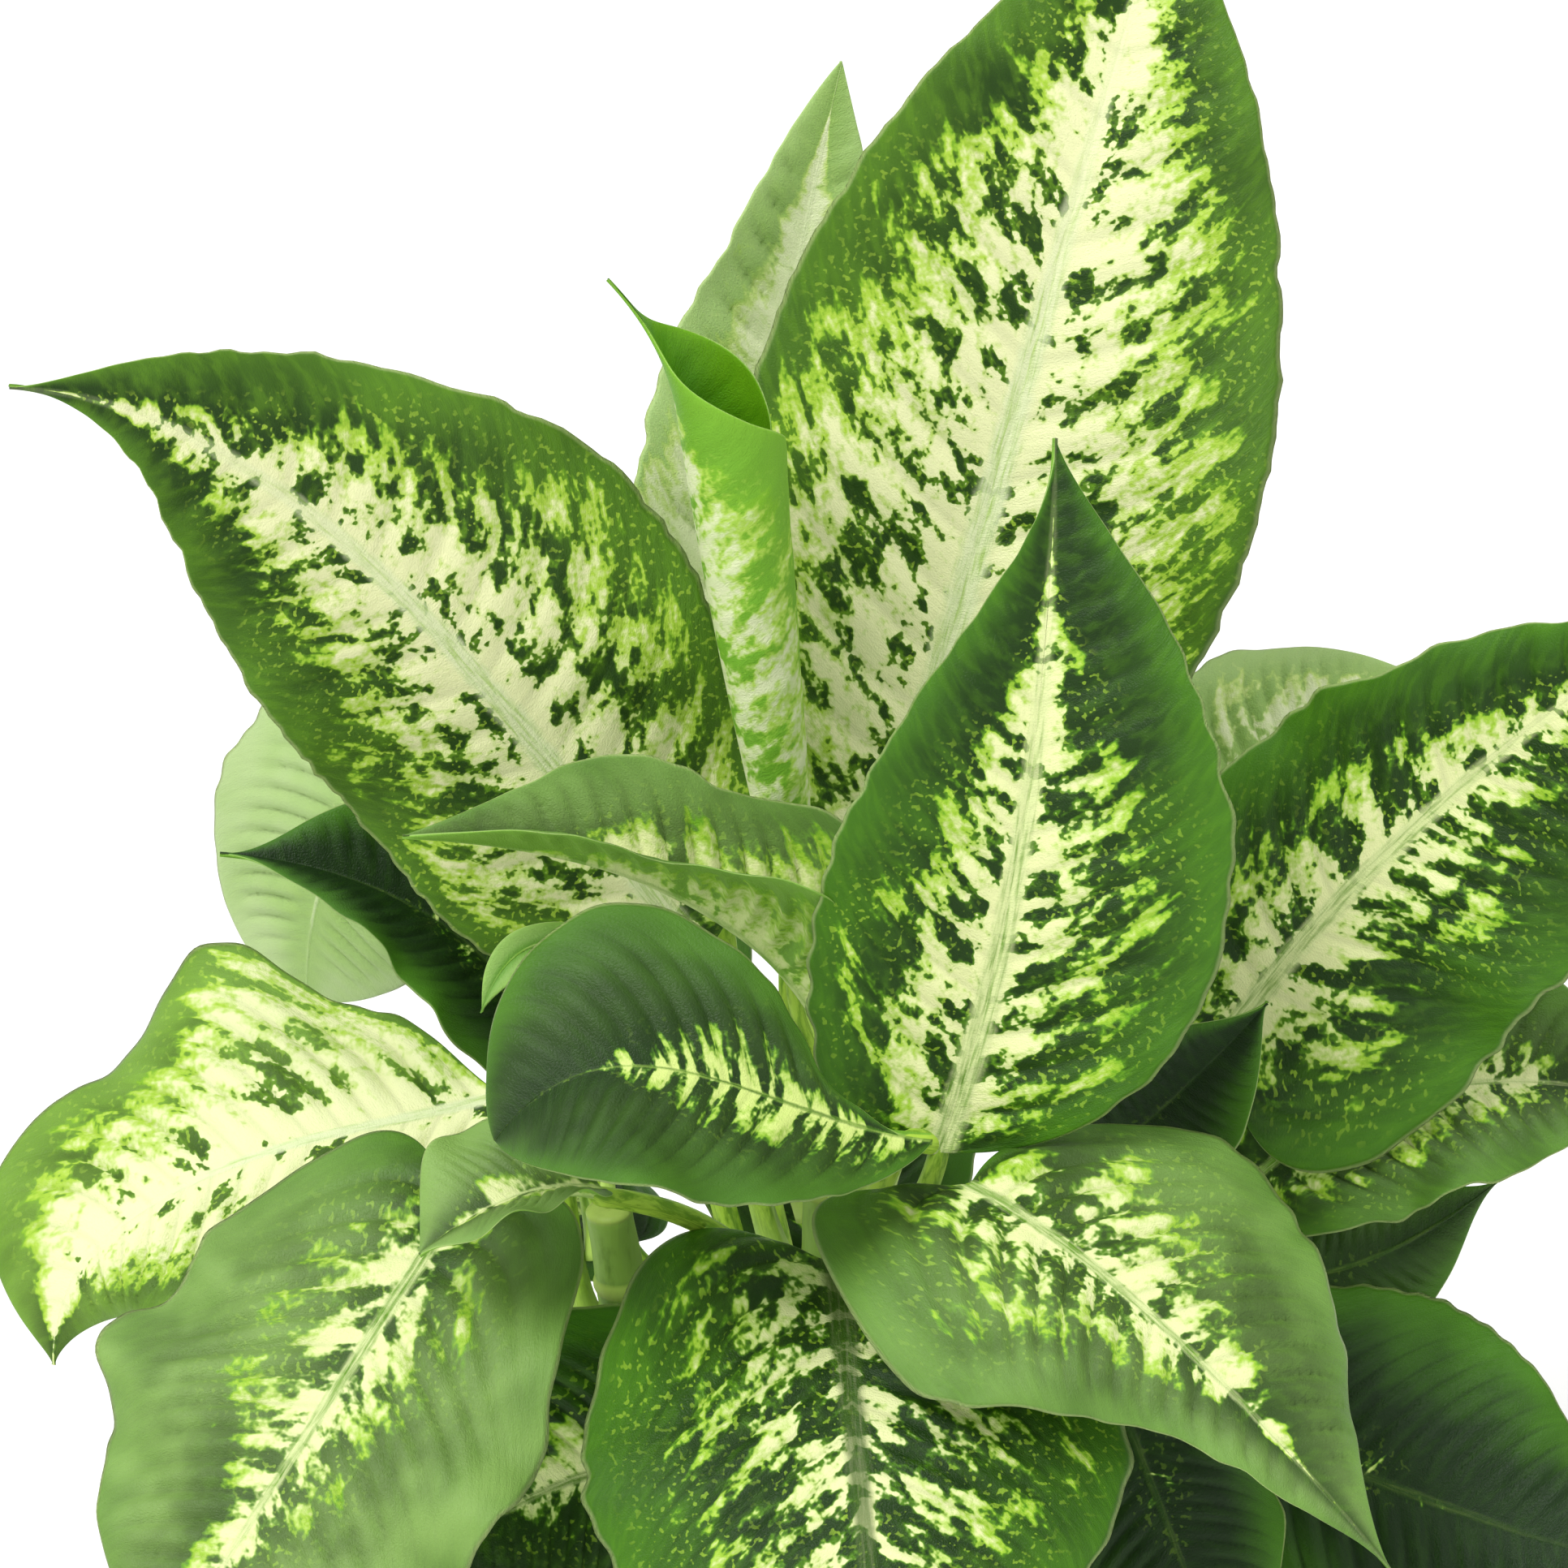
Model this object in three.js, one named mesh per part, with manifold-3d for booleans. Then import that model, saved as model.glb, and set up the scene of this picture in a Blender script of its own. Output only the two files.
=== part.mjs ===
// Potted dieffenbachia, in millimetres, +Z up, +X to the right, the front toward -Y.
// The origin is the centre of the flat underside of the pot.
import * as THREE from "three";
import { mergeVertices } from "three/addons/utils/BufferGeometryUtils.js";
import Module from "manifold-3d";

const wasm = await Module();
wasm.setup();

// ---- Driving dimensions -------------------------------------------------
const POT_HEIGHT = 122;
const POT_FOOT_RADIUS = 49;
const POT_BODY_TOP_RADIUS = 64;
const POT_RIM_RADIUS = 70;
const POT_RIM_DEPTH = 16;
const POT_WALL = 2.6;
const POT_FLOOR = 4;
const POT_SIDES = 40;
const DRAIN_HOLE_RADIUS = 4;
const DRAIN_HOLE_COUNT = 6;
const DRAIN_HOLE_RING = 32;

const SOIL_EDGE_HEIGHT = 106;
const SOIL_CROWN_HEIGHT = 110;
const FIT_GAP = 0.3;
const TOP_SEAT_GAP = 0.55;

const CANE_BURIED_DEPTH = 24;
const CANE_SIDES = 12;
const CANE_FOOT_RADIUS = 6.2;
const CANE_TOP_RADIUS = 4.4;
const CANE_JOINT_SPACING = 17;
const CANE_JOINT_SWELL = 0.5;

const BLADE_THICKNESS = 0.9;
const LARGE_BLADE = [10, 6];
const SMALL_BLADE = [8, 4];
const ROLLED_BLADE = [12, 16];
const RIB_DEPTH = 1.3;
const RIB_DEPTH_AT_TIP = 0.2;
const STALK_SIDES = 6;
const STALK_STEPS = 5;
const STALK_ROOT_RADIUS = 3.0;
const STALK_END_RADIUS = 1.9;
const STALK_RUNOUT_RADIUS = 0.7;
const STALK_RUNOUT = [0.04, 0.1];
const STALK_SINK = 0.6;
const STALK_SEAT_SHARE = 0.8;
const STALK_LEAN = 0.45;
const STALK_ARRIVAL_RISE = 0.9;

// How every blade is drawn: see bladeAt and outlineAt.
const OUTLINE_ROUNDNESS = 2.1;
const ACUMEN_POWER = 6;
const LOBE_SHARE = 0.35;
const LOBE_GAIN = 2.8;
const WAVE_MARGIN_POWER = 2.2;
const WAVE_END_POWER = 0.7;
const WAVE_LEFT_SHIFT = 2.1;
const HOOK_GAIN = 10.39;
const DRIP_SHARE = 0.2;

// ---- Canes: where each leaves the soil, and where it ends ---------------
const CANES = {
  cane_centre: { foot: [4, 10], top: [3, 5, 214] },
  cane_front: { foot: [12, -26], top: [14, -34, 196] },
  cane_right: { foot: [36, 4], top: [46, 0, 196] },
  cane_left: { foot: [-30, -12], top: [-38, -18, 206] },
  cane_back: { foot: [6, 40], top: [8, 48, 190] },
};

// ---- Leaves --------------------------------------------------------------
// base, mid, tip: three points of the midrib. face: where the upper side looks.
// width: of the unfolded blade. skew: share by which the right half is wider.
// fold, curl: degrees, [left, right], up at the midrib and down toward the margin.
// wave: [height of the margin's waves, number of them, phase in radians].
// widest: share of the length at the widest place. taper, blunt: exponents of the
// outline in front of and behind it. acumen: how drawn out the tip is.
// ruffle: [left, right], each [share, number, phase] of the scallops of the margin.
// lobe: length by which the two sides reach back beside the stalk.
// hook: bends the midrib into an S. drip: carries its last stretch aside.
// roll: [left, right], radius of the rolled half at the base and at the tip.
// from: height on the cane at which the stalk leaves it. turn: degrees off the blade.
// bow: sideways bulge of the stalk. arrive: direction in which it meets the blade.
// cells: rows and columns of the blade's surface.
const LEAVES = [
  // shoot in the centre
  {
    name: "leaf_tall_right", cane: "cane_centre", from: 186,
    base: [14, 22, 254], mid: [39, 34, 350], tip: [66, 62, 441], face: [0.05, -1, 0.3],
    width: 98, fold: [10, 10], curl: [14, 14], wave: [3, 2.5, 0.5],
    widest: 0.42, taper: [0.75, 0.75], acumen: 0.5, lobe: [4, 4],
  },
  {
    name: "leaf_big_left", cane: "cane_centre", from: 174,
    base: [-20, 12, 243], mid: [-68, -7, 319], tip: [-138, -36, 377], face: [-0.15, -1, 0.55],
    width: 82, skew: 0.01, fold: [10, 10], curl: [14, 14], wave: [2.5, 3.5, 0],
    widest: 0.34, taper: [1.25, 0.85], acumen: 1, hook: [0, 0, 6], lobe: [3, 3], blunt: [0.7, 1.1],
    ruffle: [[0.2, 0.6, -2.4], [0.15, 1.4, -3.2]],
  },
  {
    name: "leaf_boat_left", cane: "cane_centre", from: 160,
    base: [3, -18, 243], mid: [-25, -27, 276], tip: [-73, -37, 292], face: [-0.2, -0.35, 1],
    width: 56, skew: -0.12, fold: [70, 40], curl: [20, 0], wave: [1.5, 2, 0], widest: 0.3,
    taper: [1, 0.8], ruffle: [[0.3, 2.5, 1.6], [0.12, 2, -1.6]],
  },
  {
    name: "leaf_back_tall_left", cane: "cane_centre", from: 148,
    base: [-17, 45, 265], mid: [-8, 70, 329], tip: [6, 95, 394], face: [0.45, -1, 0.2],
    width: 58, fold: [10, 10], curl: [10, 10], wave: [2.5, 2.5, 0],
    widest: 0.25, taper: [0.8, 0.8], acumen: 0.3,
  },
  {
    name: "leaf_pale_back_left", cane: "cane_centre", from: 134, cells: SMALL_BLADE,
    base: [-70, 60, 272], mid: [-95, 78, 235], tip: [-104, 95, 191], face: [-0.3, -0.9, 0.5],
    width: 64, fold: [0, 0], curl: [10, 10], wave: [1, 2, 0],
    widest: 0.5, taper: [0.55, 0.4], acumen: 0.1,
  },
  {
    name: "leaf_rolled", cane: "cane_centre", from: 214, onTop: true, cells: ROLLED_BLADE,
    base: [-1, 1, 238], mid: [-17, -4, 316], tip: [-27, -8, 388.5], face: [1, 0.15, 0.15],
    width: 58, roll: [[2.8, 11.5], [2, 9.8]], drip: [-9, 0, -2], wave: [0.6, 2, 0],
    widest: 0.72, taper: [4.6, 2], acumen: 0.3, blunt: [1, 1],
  },
  {
    name: "leaf_bud_sheath", cane: "cane_centre", from: 200, cells: SMALL_BLADE,
    base: [-6, 15, 254], mid: [-12.5, 14.5, 290], tip: [-17.5, 11.5, 326], face: [-0.6, -0.8, 0],
    width: 10, fold: [10, 10], curl: [10, 10], wave: [0, 2, 0],
    widest: 0.3, taper: [0.8, 0.8], acumen: 0.4,
  },
  // shoot in front
  {
    name: "leaf_front_upright", cane: "cane_front", from: 196, onTop: true,
    base: [23, -51, 236], mid: [37, -46, 298], tip: [42, -32, 366], face: [0, -1, 0.25],
    width: 73, skew: 0.07, fold: [10, 14], curl: [12, 4], wave: [2, 2, 0],
    widest: 0.42, taper: [1.6, 0.95], lobe: [6, 0], blunt: [0.45, 0.75],
    ruffle: [[0.08, 0.8, 1.4], [0, 1, 0]],
  },
  {
    name: "leaf_centre_dome", cane: "cane_front", from: 184, turn: -30,
    base: [21, -68, 247], mid: [-20, -78, 265.5], tip: [-55, -82, 255], face: [-0.1, -0.75, 0.8],
    width: 59, skew: 0.02, fold: [25, 10], curl: [0, 20], wave: [1.5, 3, 0],
    widest: 0.64, taper: [0.5, 0.72], acumen: 0.2, blunt: [0.9, 2.7], lobe: [0, 0],
    arrive: [0.1, -1, 0.35], bow: [-3, -1, 3], hook: [0, 0, 4], ruffle: [[0, 1, 0], [0.04, 3, 1.6]],
  },
  {
    name: "leaf_front_centre", cane: "cane_front", from: 150,
    base: [4.2, -64.8, 219.3], mid: [8.5, -108, 198], tip: [13, -138, 151], face: [0, -0.75, 0.8],
    width: 98, fold: [5, 5], curl: [25, 25], wave: [1.5, 3, 0],
    widest: 0.4, lobe: [8, 20],
  },
  {
    name: "leaf_front_right", cane: "cane_front", from: 166,
    base: [28, -65, 236], mid: [60, -91, 223.5], tip: [100, -120, 191], face: [0.25, -0.5, 1],
    width: 76, skew: -0.17, fold: [6, 6], curl: [25, 25], wave: [1.5, 3, 0],
    widest: 0.36, lobe: [12, 20], acumen: 0.9, ruffle: [[0, 1, 0], [0.4, 1, 0.3]],
    blunt: [1, 0.45], taper: [1, 1.4],
  },
  {
    name: "leaf_small_fold_left", cane: "cane_front", from: 170, cells: SMALL_BLADE,
    base: [-37, -62, 233.5], mid: [-52, -72, 238], tip: [-69, -80, 231], face: [-0.2, -0.5, 1],
    width: 29, fold: [35, 15], curl: [10, 10], wave: [2, 3, 0], widest: 0.6, bow: [0, 4, 10],
    skew: 0.25, blunt: [1, 1.6], taper: [0.8, 0.8],
  },
  {
    name: "leaf_dark_low_left", cane: "cane_front", from: 130, cells: SMALL_BLADE,
    base: [-18, -50, 170], mid: [-46, -60, 171], tip: [-79, -70, 154], face: [-0.2, -1, 0.4],
    width: 62, fold: [10, 10], curl: [20, 20], wave: [1.5, 3, 0], widest: 0.42,
  },
  // shoot on the right
  {
    name: "leaf_right_big", cane: "cane_right", from: 196, onTop: true,
    base: [77, -5, 233], mid: [111, -12, 283], tip: [157, -30, 333], face: [0.1, -1, 0.55],
    width: 76, skew: 0.16, fold: [10, 10], curl: [14, 14], wave: [3, 3, 0],
    widest: 0.36, taper: [0.9, 0.9], lobe: [8, 16], ruffle: [[0.025, 6, 0], [0.12, 1.6, 0.9]],
  },
  {
    name: "leaf_right_behind", cane: "cane_right", from: 180, cells: SMALL_BLADE,
    base: [75, 40, 239], mid: [92, 60, 264], tip: [121, 78, 273], face: [0.1, -0.8, 1],
    width: 48, fold: [12, 12], curl: [20, 20], wave: [2, 2, 0], widest: 0.45,
  },
  {
    name: "leaf_right_low", cane: "cane_right", from: 172,
    base: [86, -1, 203], mid: [120, -3, 223], tip: [164, -6, 220], face: [0.2, -0.6, 0.9],
    width: 56, fold: [20, 10], curl: [15, 15], wave: [2.5, 2.5, 0], widest: 0.42, skew: -0.15,
  },
  {
    name: "leaf_right_under", cane: "cane_right", from: 158, cells: SMALL_BLADE,
    base: [86, -10, 186], mid: [107, -10, 190], tip: [131, -5, 204], face: [0, -0.9, 0.5],
    width: 32, fold: [5, 5], curl: [15, 15], wave: [1, 2, 0], widest: 0.42, taper: [1, 1.4],
  },
  {
    name: "leaf_dark_right", cane: "cane_right", from: 132,
    base: [70, -30, 171.5], mid: [112, -45, 159.5], tip: [155, -60, 152.5], face: [0.2, -0.9, 0.6],
    width: 74, fold: [6, 6], curl: [20, 20], wave: [1.5, 3, 0], widest: 0.45,
  },
  {
    name: "leaf_dark_centre_right", cane: "cane_right", from: 144, cells: SMALL_BLADE,
    base: [55, -50, 187], mid: [66, -67, 164], tip: [78, -82, 136], face: [0.2, -0.8, 0.6],
    width: 46, fold: [6, 6], curl: [20, 20], wave: [1, 3, 0], widest: 0.45,
  },
  {
    name: "leaf_small_dark_right", cane: "cane_right", from: 186, cells: SMALL_BLADE,
    base: [52, -15, 212], mid: [68, -22, 232], tip: [83, -30, 255], face: [0.3, -0.7, 0.7],
    width: 34, fold: [30, 30], curl: [10, 10], wave: [1.5, 2, 0], widest: 0.42,
  },
  {
    name: "leaf_low_right", cane: "cane_right", from: 122, cells: SMALL_BLADE,
    base: [80, -25, 138], mid: [112, -34, 150], tip: [150, -42, 144], face: [0.3, -0.6, 0.9],
    width: 36, fold: [10, 10], curl: [20, 20], wave: [1, 2, 0], widest: 0.4,
  },
  // shoot on the left
  {
    name: "leaf_dark_left", cane: "cane_left", from: 190,
    base: [-50, 14, 224], mid: [-75, 18, 250], tip: [-112, 18, 262], face: [-0.4, -0.7, 0.8],
    width: 52, fold: [60, 15], curl: [10, 10], wave: [1.5, 3, 0], widest: 0.4, acumen: 1,
    taper: [1, 1.2],
  },
  {
    name: "leaf_cream_left", cane: "cane_left", from: 176,
    base: [-57, -8, 224], mid: [-104, -14, 214], tip: [-152, -24, 180], face: [-0.3, -0.6, 1],
    width: 76, skew: 0.25, fold: [0, 0], curl: [20, 15], wave: [4, 2.5, 0],
    widest: 0.5, taper: [0.55, 0.4], lobe: [0, 0], blunt: [0.45, 1.3], acumen: 1, hook: [0, 0, 3],
    drip: [9, -2, -4], ruffle: [[0.06, 3, 0], [0.13, 2.4, 0.6]],
  },
  {
    name: "leaf_front_left", cane: "cane_left", from: 164,
    base: [-65, -50, 222], mid: [-89, -85, 198], tip: [-120, -112, 157], face: [-0.35, -0.9, 0.6],
    width: 82, skew: 0.04, fold: [5, 5], curl: [20, 20], wave: [3.5, 4, 0],
    widest: 0.5, lobe: [22, 18], blunt: [0.6, 0.45], ruffle: [[0.03, 3, 1], [0.09, 3.2, -2.45]],
  },
  {
    name: "leaf_small_bud_left", cane: "cane_left", from: 206, onTop: true, cells: SMALL_BLADE,
    base: [-45, -20, 262.5], mid: [-54, -26, 262.5], tip: [-60.2, -30, 253], face: [-0.2, -1, 0.3],
    width: 8, fold: [20, 20], curl: [10, 10], wave: [0, 2, 0], widest: 0.4, taper: [0.9, 0.9],
  },
  // shoot at the back
  {
    name: "leaf_back_upright", cane: "cane_back", from: 190, onTop: true, cells: SMALL_BLADE,
    base: [16, 52, 232], mid: [24, 74, 285], tip: [30, 104, 330], face: [0, -1, 0.4],
    width: 62, fold: [12, 12], curl: [14, 14], wave: [2, 3, 1], widest: 0.4,
  },
  {
    name: "leaf_back_centre", cane: "cane_back", from: 124, cells: SMALL_BLADE,
    base: [6, 62, 150], mid: [3, 88, 166], tip: [-2, 124, 146], face: [0, 0.5, 1],
    width: 64, fold: [8, 8], curl: [20, 20], wave: [2, 3, 2], widest: 0.4,
  },
  {
    name: "leaf_back_left", cane: "cane_back", from: 166, cells: SMALL_BLADE,
    base: [-26, 66, 204], mid: [-52, 94, 218], tip: [-76, 120, 194], face: [-0.4, 0.3, 1],
    width: 60, fold: [8, 8], curl: [18, 18], wave: [2, 3, 0], widest: 0.4,
  },
  {
    name: "leaf_back_right", cane: "cane_back", from: 174, cells: SMALL_BLADE,
    base: [42, 64, 206], mid: [74, 90, 218], tip: [108, 112, 188], face: [0.4, 0.3, 1],
    width: 62, fold: [8, 8], curl: [18, 18], wave: [2, 3, 1], widest: 0.4,
  },
  {
    name: "leaf_back_low_right", cane: "cane_back", from: 138, cells: SMALL_BLADE,
    base: [48, 56, 160], mid: [84, 74, 166], tip: [120, 90, 136], face: [0.4, 0.2, 1],
    width: 56, fold: [8, 8], curl: [20, 20], wave: [1.5, 3, 2], widest: 0.4,
  },
  {
    name: "leaf_back_low_left", cane: "cane_back", from: 130, cells: SMALL_BLADE,
    base: [-36, 52, 158], mid: [-72, 66, 164], tip: [-104, 78, 134], face: [-0.4, 0.2, 1],
    width: 58, fold: [8, 8], curl: [20, 20], wave: [1.5, 3, 1], widest: 0.4,
  },
];

// Outline defaults, for leaves that state no value of their own.
const LEAF_DEFAULTS = {
  skew: 0, turn: 0, taper: [1, 1], blunt: [0.45, 0.45], acumen: 0.6, lobe: [6, 6],
  hook: [0, 0, 0], drip: [0, 0, 0], bow: [0, 0, 0], arrive: null, fold: [0, 0], curl: [0, 0],
  roll: null, onTop: false, cells: LARGE_BLADE, ruffle: [[0, 1, 0], [0, 1, 0]],
};

// ---- Colours -------------------------------------------------------------
const LEAF_COLOUR = 0x4c7a34;
const CANE_COLOUR = 0x7f9a52;
const SOIL_COLOUR = 0x3a2b20;
const POT_COLOUR = 0x54585a;
const LEAF_ROUGHNESS = 0.45;
const CANE_ROUGHNESS = 0.5;
const SOIL_ROUGHNESS = 0.95;
const POT_ROUGHNESS = 0.6;

// ---- Small helpers -------------------------------------------------------
const vec = (a) => new THREE.Vector3(a[0], a[1], a[2]);
const clamp01 = (x) => Math.min(1, Math.max(0, x));
const radians = (degrees) => (degrees * Math.PI) / 180;

// A closed triangle surface as a manifold-3d solid.
function solidOf(points, triangles) {
  const vertProperties = new Float32Array(points.length * 3);
  points.forEach((p, i) => vertProperties.set([p.x, p.y, p.z], i * 3));
  return new wasm.Manifold(
    new wasm.Mesh({ numProp: 3, vertProperties, triVerts: new Uint32Array(triangles) }),
  );
}

// A three.js geometry as a manifold-3d solid.
function solidOfGeometry(geometry) {
  geometry.deleteAttribute("normal");
  geometry.deleteAttribute("uv");
  const merged = mergeVertices(geometry, 1e-4);
  return new wasm.Manifold(
    new wasm.Mesh({
      numProp: 3,
      vertProperties: merged.attributes.position.array,
      triVerts: new Uint32Array(merged.index.array),
    }),
  );
}

// A named mesh with its own material, from a manifold-3d solid.
function meshOf(name, solid, colour, roughness) {
  const made = solid.getMesh();
  const geometry = new THREE.BufferGeometry();
  const positions = new Float32Array(made.numVert * 3);
  for (let i = 0; i < made.numVert; i++)
    positions.set(made.vertProperties.subarray(i * made.numProp, i * made.numProp + 3), i * 3);
  geometry.setAttribute("position", new THREE.BufferAttribute(positions, 3));
  geometry.setIndex(new THREE.BufferAttribute(made.triVerts, 1));
  geometry.computeVertexNormals();
  const material = new THREE.MeshStandardMaterial({ color: colour, roughness, metalness: 0 });
  const mesh = new THREE.Mesh(geometry, material);
  mesh.name = name;
  return mesh;
}

// A round bar along a path of points, one radius for each, closed by flat ends.
// The first corner of its first ring looks along the given direction.
function barAlong(path, radii, sides, firstCorner) {
  const points = [];
  const triangles = [];
  let side = firstCorner.clone();
  path.forEach((centre, i) => {
    const before = path[Math.max(0, i - 1)];
    const after = path[Math.min(path.length - 1, i + 1)];
    const along = after.clone().sub(before).normalize();
    side = side.clone().addScaledVector(along, -side.dot(along)).normalize();
    const other = along.clone().cross(side);
    for (let k = 0; k < sides; k++) {
      const angle = (2 * Math.PI * k) / sides;
      const point = centre.clone().addScaledVector(side, radii[i] * Math.cos(angle));
      points.push(point.addScaledVector(other, radii[i] * Math.sin(angle)));
    }
  });
  for (let i = 0; i + 1 < path.length; i++)
    for (let k = 0; k < sides; k++) {
      const a = i * sides + k;
      const b = i * sides + ((k + 1) % sides);
      triangles.push(a, b, b + sides, a, b + sides, a + sides);
    }
  const last = (path.length - 1) * sides;
  for (let k = 1; k + 1 < sides; k++) {
    triangles.push(0, k + 1, k);
    triangles.push(last, last + k, last + k + 1);
  }
  return solidOf(points, triangles);
}

// ---- Canes ---------------------------------------------------------------
const soilHeightAt = (radius) =>
  SOIL_CROWN_HEIGHT + (SOIL_EDGE_HEIGHT - SOIL_CROWN_HEIGHT) * (radius / POT_BODY_TOP_RADIUS) ** 2;

// The axis of a cane at height z; below the soil it goes straight down.
function caneAxisAt(cane, z) {
  const soil = soilHeightAt(Math.hypot(cane.foot[0], cane.foot[1]));
  const share = clamp01((z - soil) / (cane.top[2] - soil));
  const lean = share ** 1.5;
  return new THREE.Vector3(
    cane.foot[0] + (cane.top[0] - cane.foot[0]) * lean,
    cane.foot[1] + (cane.top[1] - cane.foot[1]) * lean,
    z,
  );
}

// The radius of a cane at height z, with its swollen joints.
function caneRadiusAt(cane, z) {
  const soil = soilHeightAt(Math.hypot(cane.foot[0], cane.foot[1]));
  const share = clamp01((z - soil) / (cane.top[2] - soil));
  const joint = Math.cos((2 * Math.PI * (cane.top[2] - z)) / CANE_JOINT_SPACING);
  const swell = CANE_JOINT_SWELL * Math.max(0, joint) ** 4;
  return CANE_FOOT_RADIUS + (CANE_TOP_RADIUS - CANE_FOOT_RADIUS) * share + swell;
}

function canePath(cane) {
  const soil = soilHeightAt(Math.hypot(cane.foot[0], cane.foot[1]));
  const heights = [soil - CANE_BURIED_DEPTH, soil + 2];
  const step = CANE_JOINT_SPACING / 2;
  for (let z = cane.top[2]; z > soil + 2 + step / 2; z -= step) heights.push(z);
  return heights.sort((a, b) => a - b).map((z) => caneAxisAt(cane, z));
}

function caneSolid(cane, extra) {
  const path = canePath(cane);
  const radii = path.map((p) => caneRadiusAt(cane, p.z) + extra / Math.cos(Math.PI / CANE_SIDES));
  if (extra) path[0].z -= extra;
  return barAlong(path, radii, CANE_SIDES, new THREE.Vector3(1, 0, 0));
}

// ---- Leaf surface --------------------------------------------------------
// A point of the midrib at share u of its length.
function midribAt(leaf, u) {
  const base = vec(leaf.base);
  const tip = vec(leaf.tip);
  const arch = vec(leaf.mid).sub(base.clone().add(tip).multiplyScalar(0.5));
  const point = base.lerp(tip, u);
  point.addScaledVector(arch, 4 * u * (1 - u));
  point.addScaledVector(vec(leaf.hook), HOOK_GAIN * u * (1 - u) * (2 * u - 1));
  point.addScaledVector(vec(leaf.drip), clamp01((u - 1 + DRIP_SHARE) / DRIP_SHARE) ** 2);
  return point;
}

// Along, up and right unit directions at share u of the midrib.
function midribFrame(leaf, u) {
  const step = 1e-3;
  const along = midribAt(leaf, Math.min(1, u + step));
  along.sub(midribAt(leaf, Math.max(0, u - step))).normalize();
  const up = vec(leaf.face).normalize();
  up.addScaledVector(along, -up.dot(along)).normalize();
  const right = along.clone().cross(up);
  return { along, up, right };
}

// Half width of the blade at share u, as a share of the widest half; side 0 left, 1 right.
function outlineAt(leaf, u, side) {
  const [share, count, phase] = leaf.ruffle[side];
  const scallop = 1 + share * Math.sin(Math.PI * u) * Math.sin(2 * Math.PI * count * u + phase);
  if (u < leaf.widest) {
    const toBase = (leaf.widest - u) / leaf.widest;
    return scallop * clamp01(1 - toBase ** OUTLINE_ROUNDNESS) ** leaf.blunt[side];
  }
  const toTip = (u - leaf.widest) / (1 - leaf.widest);
  const narrowing = clamp01(Math.cos((Math.PI * toTip) / 2)) ** leaf.taper[side];
  return scallop * narrowing * (1 - leaf.acumen * toTip ** ACUMEN_POWER);
}

// A point of the middle surface of the blade: u along, v across from -1 to 1.
function bladeAt(leaf, u, v) {
  const side = v < 0 ? 0 : 1;
  const sign = side ? 1 : -1;
  const reach = Math.abs(v);
  const { along, up, right } = midribFrame(leaf, u);
  const half = (leaf.width / 2) * outlineAt(leaf, u, side);
  const fold = radians(leaf.fold[side]);
  let curl = radians(leaf.curl[side]) + 1e-6;
  if (leaf.roll) {
    const [low, high] = leaf.roll[side];
    curl = -half / (low + (high - low) * u) - 1e-6;
  }
  const across = (Math.sin(fold) - Math.sin(fold - curl * reach)) / curl;
  const height = (Math.cos(fold - curl * reach) - Math.cos(fold)) / curl;
  const [waveHeight, waveCount, wavePhase] = leaf.wave;
  const waveAngle = 2 * Math.PI * waveCount * u + wavePhase + (side ? 0 : WAVE_LEFT_SHIFT);
  const fade = Math.max(0, Math.sin(Math.PI * u)) ** WAVE_END_POWER;
  const wave = waveHeight * fade * reach ** WAVE_MARGIN_POWER * Math.sin(waveAngle);
  const lobeFade = clamp01(1 - u / LOBE_SHARE) ** 2;
  const back = LOBE_GAIN * leaf.lobe[side] * reach * outlineAt(leaf, u, side) * lobeFade;
  return midribAt(leaf, u)
    .addScaledVector(right, half * sign * across * (1 + sign * leaf.skew))
    .addScaledVector(up, half * height + wave)
    .addScaledVector(along, -back);
}

// The unit direction the upper side looks at a point of the blade.
function bladeNormal(leaf, u, v) {
  const { up } = midribFrame(leaf, u);
  if (v === 0) return up;
  const step = 0.01;
  const uLow = Math.max(step, u - step);
  const uHigh = Math.min(1 - step, u + step);
  const vLow = Math.max(-1, v - step);
  const vHigh = Math.min(1, v + step);
  const um = Math.min(1 - step, Math.max(step, u));
  const du = bladeAt(leaf, uHigh, v).sub(bladeAt(leaf, uLow, v));
  const dv = bladeAt(leaf, um, vHigh).sub(bladeAt(leaf, um, vLow));
  return dv.cross(du).normalize();
}

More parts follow.
